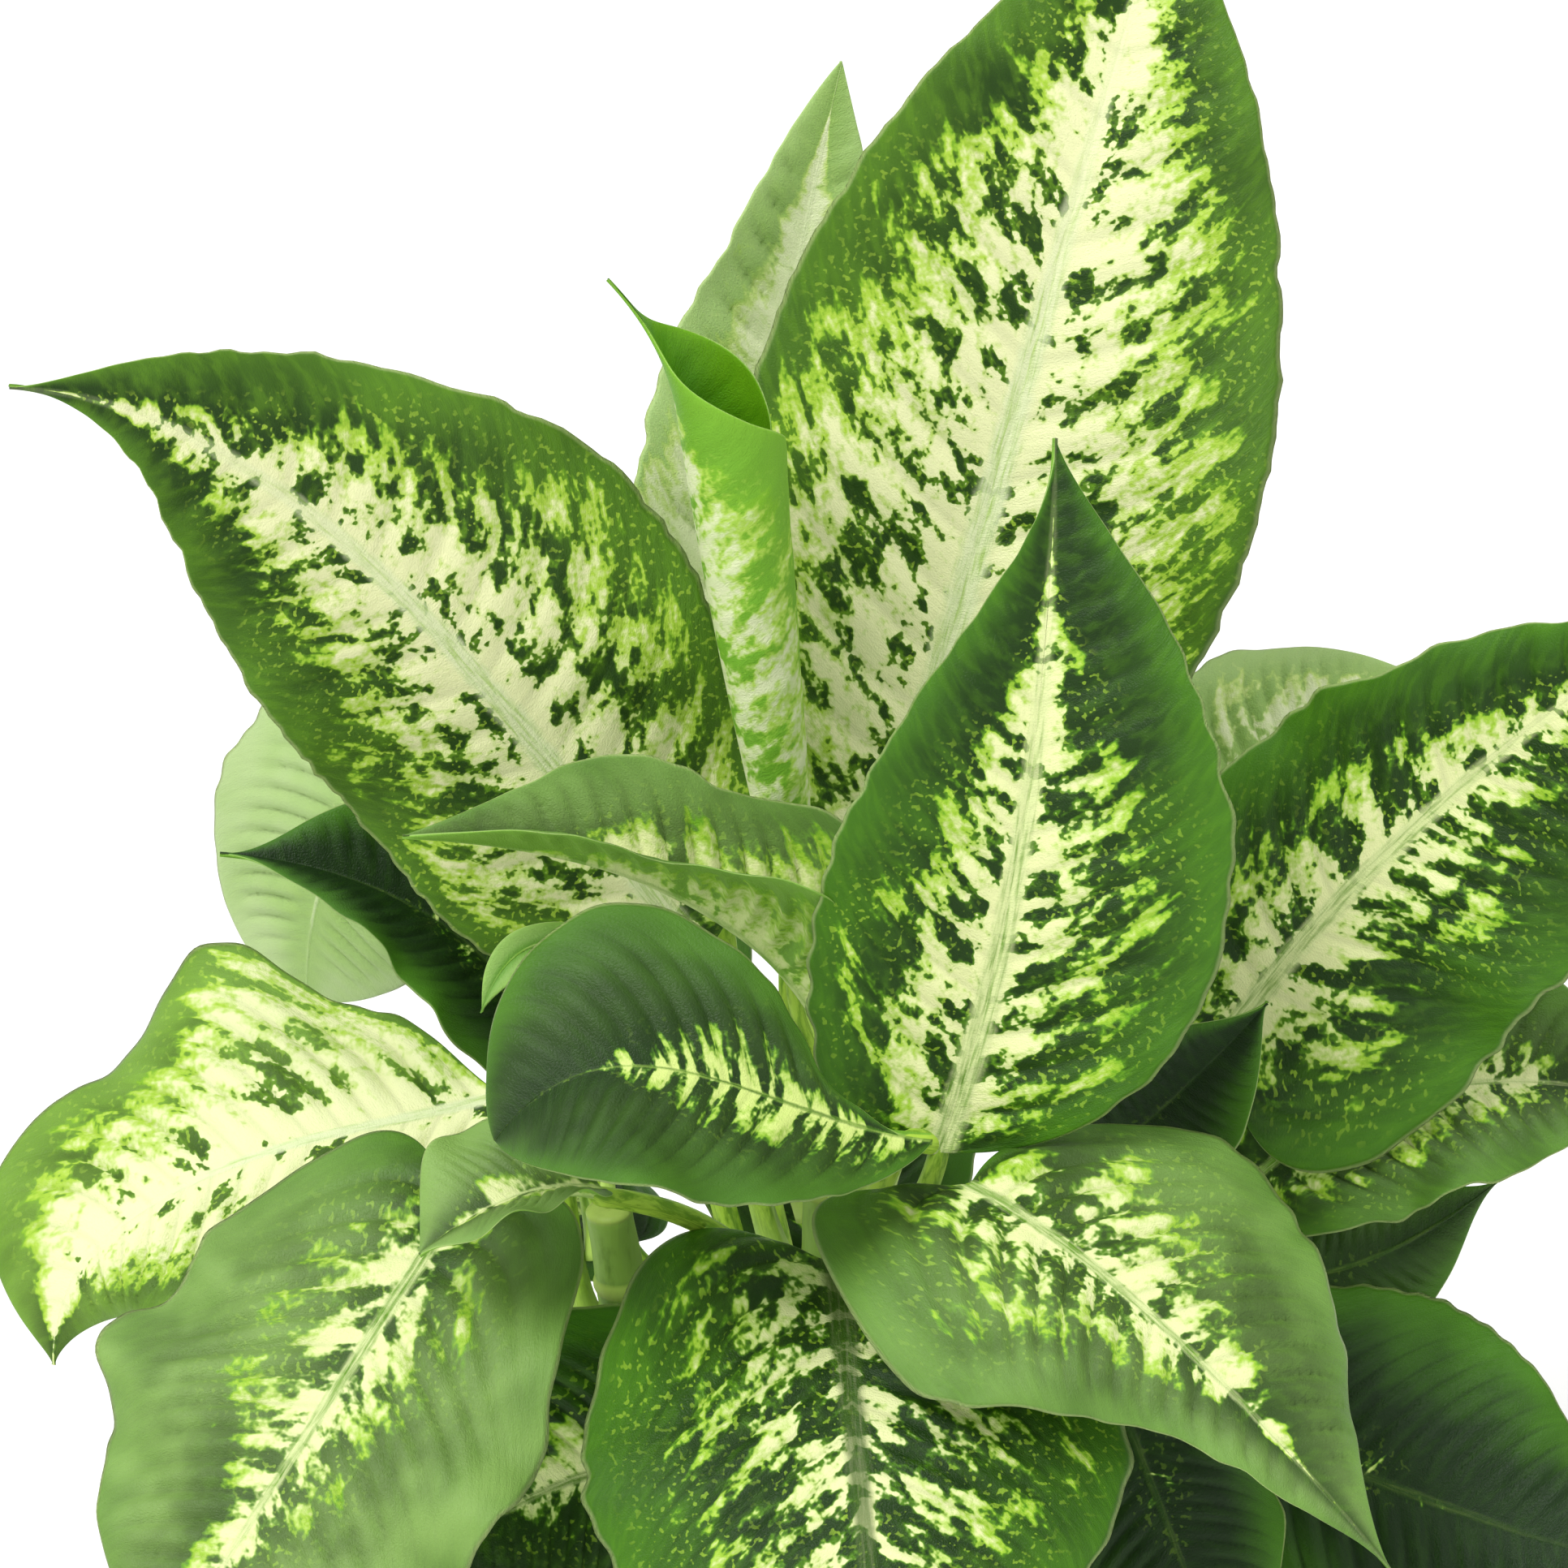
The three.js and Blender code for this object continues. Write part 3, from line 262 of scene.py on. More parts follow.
# How each leaf is marked: slot of its finish; spread, the half width of the cream flame
# as a share of the blade's; end, the share of the length where it runs out; amount, how
# full it is at the midrib; how green the midrib is; the midrib's half width at the base
# in millimetres; painted sheen, how far the green is paled toward a dusty tone, a painted
# sheen that stands for the soft reflection of the white surroundings (it also heightens
# the quilting); and soft, how blurred a marking's edge is.
MARKS = {
    "leaf_tall_right": ("leaf_cream", 1.0, 1.10, 0.07, 0.25, 4.0, 0.0, 0.012),
    "leaf_big_left": ("leaf_cream", 0.84, 1.00, 0.05, 0.25, 3.2, 0.0, 0.012),
    "leaf_boat_left": ("leaf_flame", 0.95, 0.8, 0.07, 0.4, 1.0, 0.7, 0.03),
    "leaf_back_tall_left": ("leaf_pale", 0.9, 0.95, 0.24, 0.2, 1.2, 0.4, 0.09),
    "leaf_pale_back_left": ("leaf_pale", 0.20, 0.60, -0.30, 0.5, 0.8, 1.0, 0.08),
    "leaf_rolled": ("leaf_young", 1.30, 0.85, 0.08, 0.2, 0.6, 0.0, 0.07),
    "leaf_bud_sheath": ("leaf_young", 0.20, 0.40, -0.50, 0.8, 0.4, 0.0, 0.05),
    "leaf_front_upright": ("leaf_flame", 0.7, 0.88, 0.02, 0.2, 3.0, 0.0, 0.012),
    "leaf_centre_dome": ("leaf_dark", 0.6, 0.74, -0.01, 0.7, 0.7, 0.25, 0.04),
    "leaf_front_centre": ("leaf_flame", 0.76, 1.05, -0.03, 1.0, 3.0, 0.0, 0.025),
    "leaf_front_right": ("leaf_flame", 0.56, 0.84, 0.01, 0.6, 1.5, 0.6, 0.03),
    "leaf_small_fold_left": ("leaf_flame", 0.50, 0.90, 0.0, 0.4, 0.8, 1.0, 0.08),
    "leaf_dark_low_left": ("leaf_flame", 0.48, 0.90, -0.03, 0.8, 1.4, 0.0, 0.03),
    "leaf_right_big": ("leaf_flame", 0.58, 1.02, 0.01, 0.2, 2.6, 0.0, 0.015),
    "leaf_right_behind": ("leaf_pale", 0.90, 1.00, 0.05, 0.2, 1.2, 0.3, 0.05),
    "leaf_right_low": ("leaf_flame", 0.66, 0.95, 0.0, 0.5, 1.2, 0.3, 0.03),
    "leaf_right_under": ("leaf_dark", 0.20, 0.60, -0.3, 0.9, 0.7, 0.4, 0.03),
    "leaf_dark_right": ("leaf_dark", 0.22, 0.60, -0.22, 1.0, 1.4, 0.0, 0.05),
    "leaf_dark_centre_right": ("leaf_dark", 0.30, 0.60, -0.3, 1.0, 1.0, 0.0, 0.03),
    "leaf_small_dark_right": ("leaf_dark", 0.20, 0.60, -0.35, 1.0, 0.7, 0.0, 0.03),
    "leaf_low_right": ("leaf_flame", 0.40, 0.80, -0.03, 0.6, 0.8, 0.0, 0.03),
    "leaf_dark_left": ("leaf_dark", 0.25, 0.60, -0.18, 1.0, 1.0, 0.0, 0.05),
    "leaf_cream_left": ("leaf_cream", 1.1, 1.10, 0.12, 0.0, 1.4, 0.75, 0.015),
    "leaf_front_left": ("leaf_flame", 0.42, 0.98, 0.02, 0.6, 1.7, 1.0, 0.05),
    "leaf_small_bud_left": ("leaf_young", 0.20, 0.40, -0.50, 0.8, 0.4, 0.7, 0.05),
    "leaf_back_upright": ("leaf_flame", 0.60, 0.90, 0.02, 0.3, 2.0, 0.1, 0.02),
    "leaf_back_centre": ("leaf_dark", 0.35, 0.80, -0.05, 0.8, 1.6, 0.2, 0.03),
    "leaf_back_left": ("leaf_flame", 0.55, 0.95, 0.02, 0.4, 1.8, 0.2, 0.02),
    "leaf_back_right": ("leaf_flame", 0.62, 0.95, 0.03, 0.3, 1.8, 0.1, 0.02),
    "leaf_back_low_right": ("leaf_dark", 0.40, 0.80, -0.03, 0.7, 1.4, 0.2, 0.03),
    "leaf_back_low_left": ("leaf_dark", 0.35, 0.80, -0.04, 0.7, 1.4, 0.2, 0.03),
}

# Tones of each finish: deep and edge are the green at the midrib and at the margin,
# bright the halo round a marking and the specks, lime and cream its rim and heart, rib
# and stem the midrib and its streaks, sheen_green the dusty pale green of the painted
# sheen; drawn, how far markings are drawn out along the side veins; mottle, how uneven
# the green is.
TONES = {
    "leaf_cream": dict(deep="#21400a", edge="#56831f", bright="#79ae20", lime="#b2d644", cream="#f5f7bf",
                       rib="#e6efc0", stem="#a4c85c", sheen_green="#8cb648", drawn=1.1, mottle=0.2),
    "leaf_flame": dict(deep="#1c3a08", edge="#467a14", bright="#6eac18", lime="#a9d23c", cream="#f0f5b4",
                       rib="#dce8a4", stem="#6a9a26", sheen_green="#96ba64", drawn=1.4, mottle=0.14),
    "leaf_dark": dict(deep="#16300b", edge="#467a14", bright="#5f9f1a", lime="#9fca40", cream="#dcee8c",
                      rib="#9cc052", stem="#4c7a1e", sheen_green="#76a04a", drawn=3.4, mottle=0.05),
    "leaf_pale": dict(deep="#98bc64", edge="#b0d080", bright="#aed068", lime="#cfe488", cream="#f1f6cc",
                      rib="#e6efc4", stem="#b0cc7c", sheen_green="#bcd296", drawn=1.4, mottle=0.2),
    "leaf_young": dict(deep="#4f9008", edge="#6eaa16", bright="#7fba20", lime="#c0e05c", cream="#fbfad8",
                       rib="#d8e69c", stem="#8ab83c", sheen_green="#b4d480", drawn=1.2, mottle=0.1),
}


# ---- Small maths --------------------------------------------------------------
def unit(v):
    """Vectors over their own length."""
    return v / np.maximum(np.linalg.norm(v, axis=-1, keepdims=True), 1e-12)


def smooth(x, low, high):
    """0 below low, 1 above high, and 3t^2 - 2t^3 between."""
    t = np.clip((x - low) / (high - low), 0, 1)
    return t * t * (3 - 2 * t)


def ripples(points, size, seed, count=14):
    """Evenly spread unevenness: twice the mean of count sines.

    Each sine has a seeded direction and phase, and is 0.6 to 1.8 sizes long.
    """
    draw = np.random.default_rng(seed)
    ways = unit(draw.normal(size=(count, points.shape[-1])))
    pace = 2 * np.pi / (size * draw.uniform(0.6, 1.8, count))
    turn = draw.uniform(0, 2 * np.pi, count)
    return np.sin(points @ (ways * pace[:, None]).T + turn).mean(-1) * 2


def distances(path):
    """The length walked along a path at each of its points."""
    return np.append(0, np.cumsum(np.linalg.norm(np.diff(path, axis=0), axis=1)))


def sheet_normal(points):
    """Unit normals of a grid of points; the two end rows take their neighbours'."""
    normal = np.cross(np.gradient(points, axis=1), np.gradient(points, axis=0))
    normal[0], normal[-1] = normal[1], normal[-2]
    return unit(normal)


# ---- Leaf surface -----------------------------------------------------------------
def midrib(leaf, u):
    """The chord, plus an arch 4u(1-u), an S-bend u(1-u)(2u-1) and a last stretch aside."""
    u = np.asarray(u, float)[..., None]
    point = leaf["base"] + (leaf["tip"] - leaf["base"]) * u
    point = point + (leaf["mid"] - (leaf["base"] + leaf["tip"]) / 2) * 4 * u * (1 - u)
    point = point + leaf["hook"] * 10.39 * u * (1 - u) * (2 * u - 1)
    return point + leaf["drip"] * np.clip((u - 0.8) / 0.2, 0, 1) ** 2


def midrib_frame(leaf, u):
    """Along, up and right: the tangent, the facing made square to it, and their product."""
    u = np.asarray(u, float)
    ahead = midrib(leaf, np.minimum(1, u + 1e-3))
    along = unit(ahead - midrib(leaf, np.maximum(0, u - 1e-3)))
    face = unit(leaf["face"])
    up = unit(face - along * (along @ face)[..., None])
    return along, up, np.cross(along, up)


def outline(leaf, u, left):
    """Half width as a share of the widest: a blunt power behind it, a cosine power before it.

    Both are multiplied by the margin's scallops, 1 + share sin(pi u) sin(2 pi count u + phase).
    """
    widest = leaf["widest"]
    blunt = np.where(left, leaf["blunt"][0], leaf["blunt"][1])
    taper = np.where(left, leaf["taper"][0], leaf["taper"][1])
    to_base = np.clip((widest - u) / widest, 0, 1)
    to_tip = np.clip((u - widest) / (1 - widest), 0, 1)
    behind = np.clip(1 - to_base**2.1, 0, 1) ** blunt
    before = np.clip(np.cos(np.pi * to_tip / 2), 0, 1) ** taper
    before = before * (1 - leaf["acumen"] * to_tip**6)
    share, count, phase = (np.where(left, *pair) for pair in zip(*leaf["ruffle"]))
    scallop = 1 + share * np.sin(np.pi * u) * np.sin(2 * np.pi * count * u + phase)
    return scallop * np.where(u < widest, behind, before)


def blade_sheet(leaf, u, v):
    """Each half is an arc from the midrib's fold, bent down or rolled up toward the margin.

    Waves rise with |v|^2.2, and the base's lobes lean back. Returns the points and the
    developed distance from the midrib, in millimetres.
    """
    left = v < 0
    sign = np.where(left, -1.0, 1.0)
    reach = np.abs(v)
    along, up, right = midrib_frame(leaf, u)
    shape = outline(leaf, u, left)
    half = leaf["width"] / 2 * shape
    fold = np.radians(np.where(left, *leaf["fold"]))
    curl = np.radians(np.where(left, *leaf["curl"])) + 1e-6
    if leaf["roll"]:
        low = np.where(left, leaf["roll"][0][0], leaf["roll"][1][0])
        high = np.where(left, leaf["roll"][0][1], leaf["roll"][1][1])
        curl = -half / (low + (high - low) * u) - 1e-6
    across = (np.sin(fold) - np.sin(fold - curl * reach)) / curl
    height = (np.cos(fold - curl * reach) - np.cos(fold)) / curl
    tall, count, phase = leaf["wave"]
    angle = 2 * np.pi * count * u + phase + np.where(left, 2.1, 0)
    fade = np.maximum(0, np.sin(np.pi * u)) ** 0.7
    wave = tall * fade * reach**2.2 * np.sin(angle)
    lobe = np.where(left, *leaf["lobe"])
    back = 2.8 * lobe * reach * shape * np.clip(1 - u / 0.35, 0, 1) ** 2
    points = midrib(leaf, u)
    points = points + right * (half * sign * across * (1 + sign * leaf["skew"]))[..., None]
    points = points + up * (half * height + wave)[..., None] - along * back[..., None]
    return points, half * reach


def blade_marks(leaf, u, v, far, along, vein, spacing, band, waver):
    """What the finishes read at each point of a blade.

    pattern is the place in centimetres: out from the midrib, along to the root of the
    side vein through it, and along. marking is the bias toward cream, the reach as a
    share of the flame's, and the share of the length. The flame narrows from 0.22 of the
    length to its end by the power 1.7. The bias falls with the square of that reach, and
    again past the flame's edge, at the margin and at the flame's end; it rises on a clean
    midrib. groove counts side veins: it is a whole number in the valley of each.
    """
    _, spread, end, amount, rib_green, _, bloom, soft = MARKS[leaf["name"]]
    reach = np.abs(v)
    tapering = np.clip(1 - (np.clip(u - 0.22, 0, 1) / max(end - 0.22, 0.1)) ** 1.7, 0.02, 1)
    wide = spread * tapering * (0.72 + 0.28 * smooth(u, 0, 0.2))
    wide = wide * (1 + FLAME_WAVER * waver)
    ratio = np.minimum(reach / np.maximum(wide, 0.02), 3)
    bias = amount - 0.07 * ratio**2 - 0.22 * smooth(ratio, 0.9, 1.5)
    bias = bias - 0.3 * smooth(reach, 0.86, 1.0) - 0.3 * smooth(u, end - 0.04, end + 0.12)
    clean = (1 - rib_green) * (1 - smooth(u, end - 0.3, end - 0.05))
    bias = np.clip(bias + 0.2 * clean * np.exp(-((far / (0.8 * band)) ** 2)), -0.6, 0.3)
    # Where the painted sheen lies: fainter at the midrib and toward the base.
    sheen_spread = (0.3 + 0.7 * smooth(reach, 0.05, 0.5)) * (0.2 + 0.8 * smooth(u, 0.02, 0.3))
    out = far * np.sign(v) * CM + 37 * leaf["seed"]
    return {
        "pattern": np.stack([out, vein * CM, along * CM], -1),
        "marking": np.stack([bias, ratio, u], -1),
        "reach": reach,
        "green_rib": np.full_like(u, rib_green),
        "rib": np.minimum(far / np.maximum(band, 0.1), 4),
        "bloom": bloom * sheen_spread,
        "soft": np.full_like(u, soft),
        "groove": vein / spacing,
    }


def dressed_blade(leaf, settings):
    """The leaf's two sides on one grid, with what the plain sheet lacks.

    A side vein runs where vein is the same: the length along, less a slant, a bend and a
    sweep of the distance out. Veins sink as grooves, the power 0.8 of a sine's size,
    between soft quilted bulges. The midrib is a raised band above and a rounded rib
    below; the margin has short waves in and out of the plane; the edge is thin and round.
    """
    rib_width, bloom = MARKS[leaf["name"]][5:7]
    u = 0.5 - 0.5 * np.cos(np.pi * np.linspace(0, 1, settings.rows + 1))
    w = np.linspace(-1, 1, 2 * settings.columns + 1)
    v = np.sign(w) * np.abs(w) ** 1.35
    u, v = np.meshgrid(u, v, indexing="ij")
    points, far = blade_sheet(leaf, u, v)
    reach, side = np.abs(v), np.sign(v)
    steps = np.linspace(0, 1, 400)
    lengths = distances(midrib(leaf, steps))
    along = np.interp(u, steps, lengths)
    to_tip = lengths[-1] - along

    def waver(off, size, shift):
        """Ripples along the blade, as if at a distance off from the midrib on either side."""
        return ripples(np.stack([along, off * side], -1), size, leaf["seed"] + shift)

    vein = along - VEIN_SLANT * far - VEIN_BEND * far**2 - VEIN_SWEEP * far * reach**4
    vein = vein + VEIN_WANDER * waver(far, VEIN_WANDER_LENGTH, 0)
    spacing = lengths[-1] / settings.side_veins
    groove = np.abs(np.sin(np.pi * vein / spacing)) ** 0.8
    quilt = settings.quilt_height / MM * min(1, leaf["width"] / 60) * (0.8 + min(bloom, 0.5))
    lift = quilt * (groove - 0.62) * smooth(far, 1.0, 9)
    lift = lift * (1 - smooth(reach, 0.5, 0.92)) * smooth(to_tip, 2, 25)

    flutter = MARGIN_FLUTTER * side * reach**6 * waver(40, MARGIN_FLUTTER_LENGTH, 7)
    flutter = flutter * smooth(along, 4, 25) * smooth(to_tip, 6, 40)
    points = points + midrib_frame(leaf, u)[2] * flutter[..., None]
    ripple = MARGIN_RIPPLE * reach**7 * waver(30, MARGIN_RIPPLE_LENGTH, 1)
    lift = lift + ripple * smooth(along, 2, 20) * smooth(to_tip, 4, 30)
    sheet = SHEET_RIPPLE * ripples(points, SHEET_RIPPLE_LENGTH, leaf["seed"] + 2)
    lift = lift + sheet * smooth(far, 2, 12)
    if leaf["roll"]:
        lift = lift * ROLLED_RELIEF
    points = points + sheet_normal(points) * lift[..., None]

    normal = sheet_normal(points)
    skin = settings.blade_thickness / MM / 2 * np.sqrt(np.clip(1 - reach**8, 0, 1))
    band = rib_width * (1 - 0.55 * u - 0.38 * u**4)
    shown = 0 if leaf["roll"] else 1
    raised = MIDRIB_RISE * (1 - 0.75 * u) * np.exp(-((far / band) ** 4)) * shown
    rib = RIB_DEPTH + (RIB_DEPTH_AT_TIP - RIB_DEPTH) * u
    hung = rib * np.exp(-((far / (0.85 * band)) ** 2)) * shown
    upper = points + normal * (skin + raised)[..., None]
    lower = points - normal * (skin + hung)[..., None]
    lower[:, 0], lower[:, -1] = upper[:, 0], upper[:, -1]
    flame = waver(30, FLAME_WAVER_LENGTH, 3)
    return upper, lower, blade_marks(leaf, u, v, far, along, vein, spacing, band, flame)


def closed_sheet(upper, lower, marks):
    """Two grids that share their side columns and one point at each end, as one skin.

    Vertices: base point, inner rows of the upper grid, inner rows and columns of the
    lower grid, tip point. Quads between rows, triangles at the two ends.
    """
    rows, columns = upper.shape[0] - 1, upper.shape[1] - 1
    top = np.zeros((rows + 1, columns + 1), int)
    top[1:-1] = 1 + np.arange((rows - 1) * (columns + 1)).reshape(rows - 1, columns + 1)
    first = 1 + (rows - 1) * (columns + 1)
    under = top.copy()
    under[1:-1, 1:-1] = first + np.arange((rows - 1) * (columns - 1)).reshape(rows - 1, columns - 1)
    last = first + (rows - 1) * (columns - 1)
    top[-1] = under[-1] = last

    def packed(a, b):
        """The values of both grids in the order of the vertices."""
        a, b = (grid.reshape(rows + 1, columns + 1, -1) for grid in (a, b))
        foot, tip = ((a[k, columns // 2] + b[k, columns // 2])[None] / 2 for k in (0, -1))
        wide = a.shape[-1]
        above, below = a[1:-1].reshape(-1, wide), b[1:-1, 1:-1].reshape(-1, wide)
        return np.concatenate([foot, above, below, tip])

    faces, kinds = [], []
    for grid, turned, kind in ((top, False, 0), (under, True, 1)):
        a, b, c, d = grid[:-1, :-1], grid[:-1, 1:], grid[1:, 1:], grid[1:, :-1]
        quads = np.stack([a, b, c, d], -1)[1:-1].reshape(-1, 4)
        tris = np.concatenate([np.stack([a, c, d], -1)[0], np.stack([a, b, c], -1)[-1]])
        for block in (quads, tris):
            block = block[:, ::-1] if turned else block
            faces += block.tolist()
            kinds += [kind] * len(block)
    return packed(upper, lower), faces, kinds, {k: packed(m, m) for k, m in marks.items()}


def ring_faces(count, sides):
    """Quads between rings of points, then a fan from one more point at either end."""
    grid = np.arange(count * sides).reshape(count, sides)
    after = np.roll(grid, -1, axis=1)
    quads = np.stack([grid[:-1], after[:-1], after[1:], grid[1:]], -1).reshape(-1, 4)
    foot, head = np.full(sides, count * sides), np.full(sides, count * sides + 1)
    fans = [np.stack([foot, after[0], grid[0]], -1), np.stack([head, grid[-1], after[-1]], -1)]
    return quads.tolist() + np.concatenate(fans).tolist()


def bar(path, radii, first, sides, section=None):
    """Rings of the radii round a path, turned from a first direction, with domed ends.

    section scales the radius by the angle round the bar. Returns points, faces, the
    angle and the length along at each point.
    """
    along = unit(np.gradient(path, axis=0))
    side = unit(first - along * (along @ first)[:, None])
    other = np.cross(along, side)
    angle = 2 * np.pi * np.arange(sides) / sides
    reach = radii[:, None] * (np.ones(sides) if section is None else section(angle))
    turn = angle[None, :, None]
    ring = side[:, None] * np.cos(turn) + other[:, None] * np.sin(turn)
    points = path[:, None] + ring * reach[..., None]
    ends = np.stack([path[0] - along[0] * radii[0] * 0.15, path[-1] + along[-1] * radii[-1] * 0.4])
    points = np.concatenate([points.reshape(-1, 3), ends])
    walked = distances(path)
    around = np.append(np.tile(angle, len(path)), [0, 0])
    walked = np.append(np.repeat(walked, sides), [walked[0], walked[-1]])
    return points, ring_faces(len(path), sides), around, walked


# ---- Canes and stalks -------------------------------------------------------------
def soil_height(radius):
    """A shallow dome: the crown's height less a share of the radius squared."""
    return SOIL_CROWN_HEIGHT + (SOIL_EDGE_HEIGHT - SOIL_CROWN_HEIGHT) * (radius / POT_BODY_TOP_RADIUS) ** 2


def cane_axis(cane, z):
    """Straight below the soil, then leaning with the power 1.5 of the height."""
    z = np.asarray(z, float)
    soil = soil_height(math.hypot(*cane["foot"]))
    lean = np.clip((z - soil) / (cane["top"][2] - soil), 0, 1) ** 1.5
    x = cane["foot"][0] + (cane["top"][0] - cane["foot"][0]) * lean
    y = cane["foot"][1] + (cane["top"][1] - cane["foot"][1]) * lean
    return np.stack([x, y, z], -1)


def cane_radius(cane, z):
    """Thins evenly to the top and swells at every joint."""
    soil = soil_height(math.hypot(*cane["foot"]))
    share = np.clip((z - soil) / (cane["top"][2] - soil), 0, 1)
    joint = np.cos(2 * np.pi * (cane["top"][2] - z) / CANE_JOINT_SPACING)
    swell = CANE_JOINT_SWELL * np.maximum(0, joint) ** 4
    return CANE_FOOT_RADIUS + (CANE_TOP_RADIUS - CANE_FOOT_RADIUS) * share + swell


def stalk_path(leaf, steps):
    """Hermite curve from the cane to the blade, then on under the midrib, thinning."""
    cane = CANES[leaf["cane"]]
    slim = min(1, leaf["width"] / 40 + 0.25)
    end = leaf["base"]
    foot = cane_axis(cane, leaf["leaves_at"])
    outward = unit(np.array([end[0] - foot[0], end[1] - foot[1], 0.0]))
    turn = math.radians(leaf["turn"])
    outward = np.array([outward[0] * math.cos(turn) - outward[1] * math.sin(turn),
                        outward[0] * math.sin(turn) + outward[1] * math.cos(turn), 0.0])
    root = STALK_ROOT_RADIUS * slim
    if leaf["on_top"]:
        start = foot + np.array([0, 0, TOP_SEAT_GAP])
    else:
        start = foot + outward * (cane_radius(cane, leaf["leaves_at"]) + root - 0.5)
    along, up, _ = midrib_frame(leaf, 0.0)
    span = np.linalg.norm(end - start)
    leave = unit(outward * (0 if leaf["on_top"] else STALK_LEAN) + np.array([0, 0, 1.0])) * span
    arrive = leaf["arrive"]
    if arrive is None:
        arrive = along + np.array([0, 0, STALK_ARRIVAL_RISE])
    arrive = unit(np.asarray(arrive, float)) * span
    t = np.linspace(0, 1, steps + 1)[:, None]
    path = start * (2 * t**3 - 3 * t**2 + 1) + leave * (t**3 - 2 * t**2 + t)
    path = path + end * (3 * t**2 - 2 * t**3) + arrive * (t**3 - t**2)
    path = path + np.asarray(leaf["bow"], float) * 4 * t * (1 - t)
    path = path - up * slim * STALK_END_RADIUS * 0.6 * smooth(t, 0.6, 1.0)
    radii = slim * (STALK_ROOT_RADIUS + (STALK_END_RADIUS - STALK_ROOT_RADIUS) * t[:, 0] ** 0.7)
    run = np.linspace(0.015, 0.12, 8)
    thin = slim * (STALK_END_RADIUS + (0.5 - STALK_END_RADIUS) * (run / 0.12))
    _, up_run, _ = midrib_frame(leaf, run)
    under = midrib(leaf, run) - up_run * (thin * 0.62 + 0.1)[:, None]
    return np.concatenate([path, under]), np.concatenate([radii, thin]), outward


def stalk_parts(leaf):
    """The stalk's bar: grooved on the side toward the cane, with a flared sheath at its foot.

    The flare and the groove are bell curves, of the length and of the angle; the groove
    runs out toward the blade.
    """
    path, radii, outward = stalk_path(leaf, 30)
    t = np.linspace(0, 1, len(path))
    radii = radii * (1 + SHEATH_FLARE * np.exp(-((t / 0.1) ** 2)))
    sideways = np.array([-outward[1], outward[0], 0.0])

    def grooved(angle):
        toward = np.minimum(np.abs(angle - np.pi / 2), 2 * np.pi - np.abs(angle - np.pi / 2))
        depth = STALK_GROOVE * (1 - smooth(t, 0.35, 0.9))[:, None]
        return 1 - depth * np.exp(-((toward / 0.55) ** 2))[None]

    along = unit(np.gradient(path, axis=0))
    side = unit(sideways - along * (along @ sideways)[:, None])
    flip = -1 if np.cross(along, side)[3] @ outward > 0 else 1
    return bar(path, radii, sideways * flip, STALK_SIDES, grooved)


# ---- Making objects ---------------------------------------------------------------
def mesh_object(name, points, faces, materials, kinds=None, marks=None):
    """A mesh object at the origin from points in millimetres, shaded smooth.

    kinds are the faces' places in the list of materials; marks become attributes.
    """
    mesh = bpy.data.meshes.new(name)
    mesh.from_pydata((np.asarray(points) * MM).tolist(), [], faces)
    for material in materials:
        mesh.materials.append(material)
    if kinds is not None:
        mesh.polygons.foreach_set("material_index", kinds)
    mesh.polygons.foreach_set("use_smooth", [True] * len(mesh.polygons))
    for key, values in (marks or {}).items():
        if values.shape[-1] == 3:
            layer = mesh.attributes.new(key, "FLOAT_VECTOR", "POINT")
            layer.data.foreach_set("vector", values.astype(np.float32).ravel())
        else:
            layer = mesh.attributes.new(key, "FLOAT", "POINT")
            layer.data.foreach_set("value", values.astype(np.float32).ravel())
    mesh.validate()
    mesh.update()
    made = bpy.data.objects.new(name, mesh)
    bpy.context.scene.collection.objects.link(made)
    return made


def placed(made, node):
    """The piece stands for its CAD node, which it hides, and rides on the one body."""
    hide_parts(node)
    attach(made, "root")
    return made


def leaf_object(entry, seed, settings):
    """A leaf and its stalk as one mesh, with a finish above, below and on the stalk."""
    leaf = {**LEAF_DEFAULTS, **entry, "seed": seed}
    for key in ("base", "mid", "tip", "face", "hook", "drip"):
        leaf[key] = np.asarray(leaf[key], float)
    slot = MARKS[leaf["name"]][0]
    points, faces, kinds, marks = closed_sheet(*dressed_blade(leaf, settings))
    stalk, stalk_faces, angle, walked = stalk_parts(leaf)
    first = len(points)
    faces += [[first + k for k in face] for face in stalk_faces]
    kinds += [2] * len(stalk_faces)
    plain = {"reach": 0.0, "green_rib": 0.0, "rib": 4.0, "bloom": 0.0, "soft": 0.02, "groove": 0.5}
    extra = {key: np.full((len(stalk), 1), value) for key, value in plain.items()}
    zero = np.zeros(len(stalk))
    extra["pattern"] = np.stack([angle * 0.3, walked * CM, zero + 5 * seed], -1)
    extra["marking"] = np.stack([zero, zero, walked / max(walked.max(), 1)], -1)
    marks = {key: np.concatenate([values, extra[key]]) for key, values in marks.items()}
    points = np.concatenate([points, stalk])
    finishes = [leaf_finish(slot, False), leaf_finish(slot, True), stalk_finish()]
    made = mesh_object(leaf["name"] + "_look", points, faces, finishes, kinds, marks)
    return placed(made, leaf["name"])


# ---- Finishes ---------------------------------------------------------------------
def tone(colour):
    """A written colour, or a picked one, as linear red, green, blue and one."""
    if not isinstance(colour, str):
        return (*colour[:3], 1.0)
    parts = [int(colour[k:k + 2], 16) / 255 for k in (1, 3, 5)]
    return (*[c / 12.92 if c <= 0.04045 else ((c + 0.055) / 1.055) ** 2.4 for c in parts], 1.0)


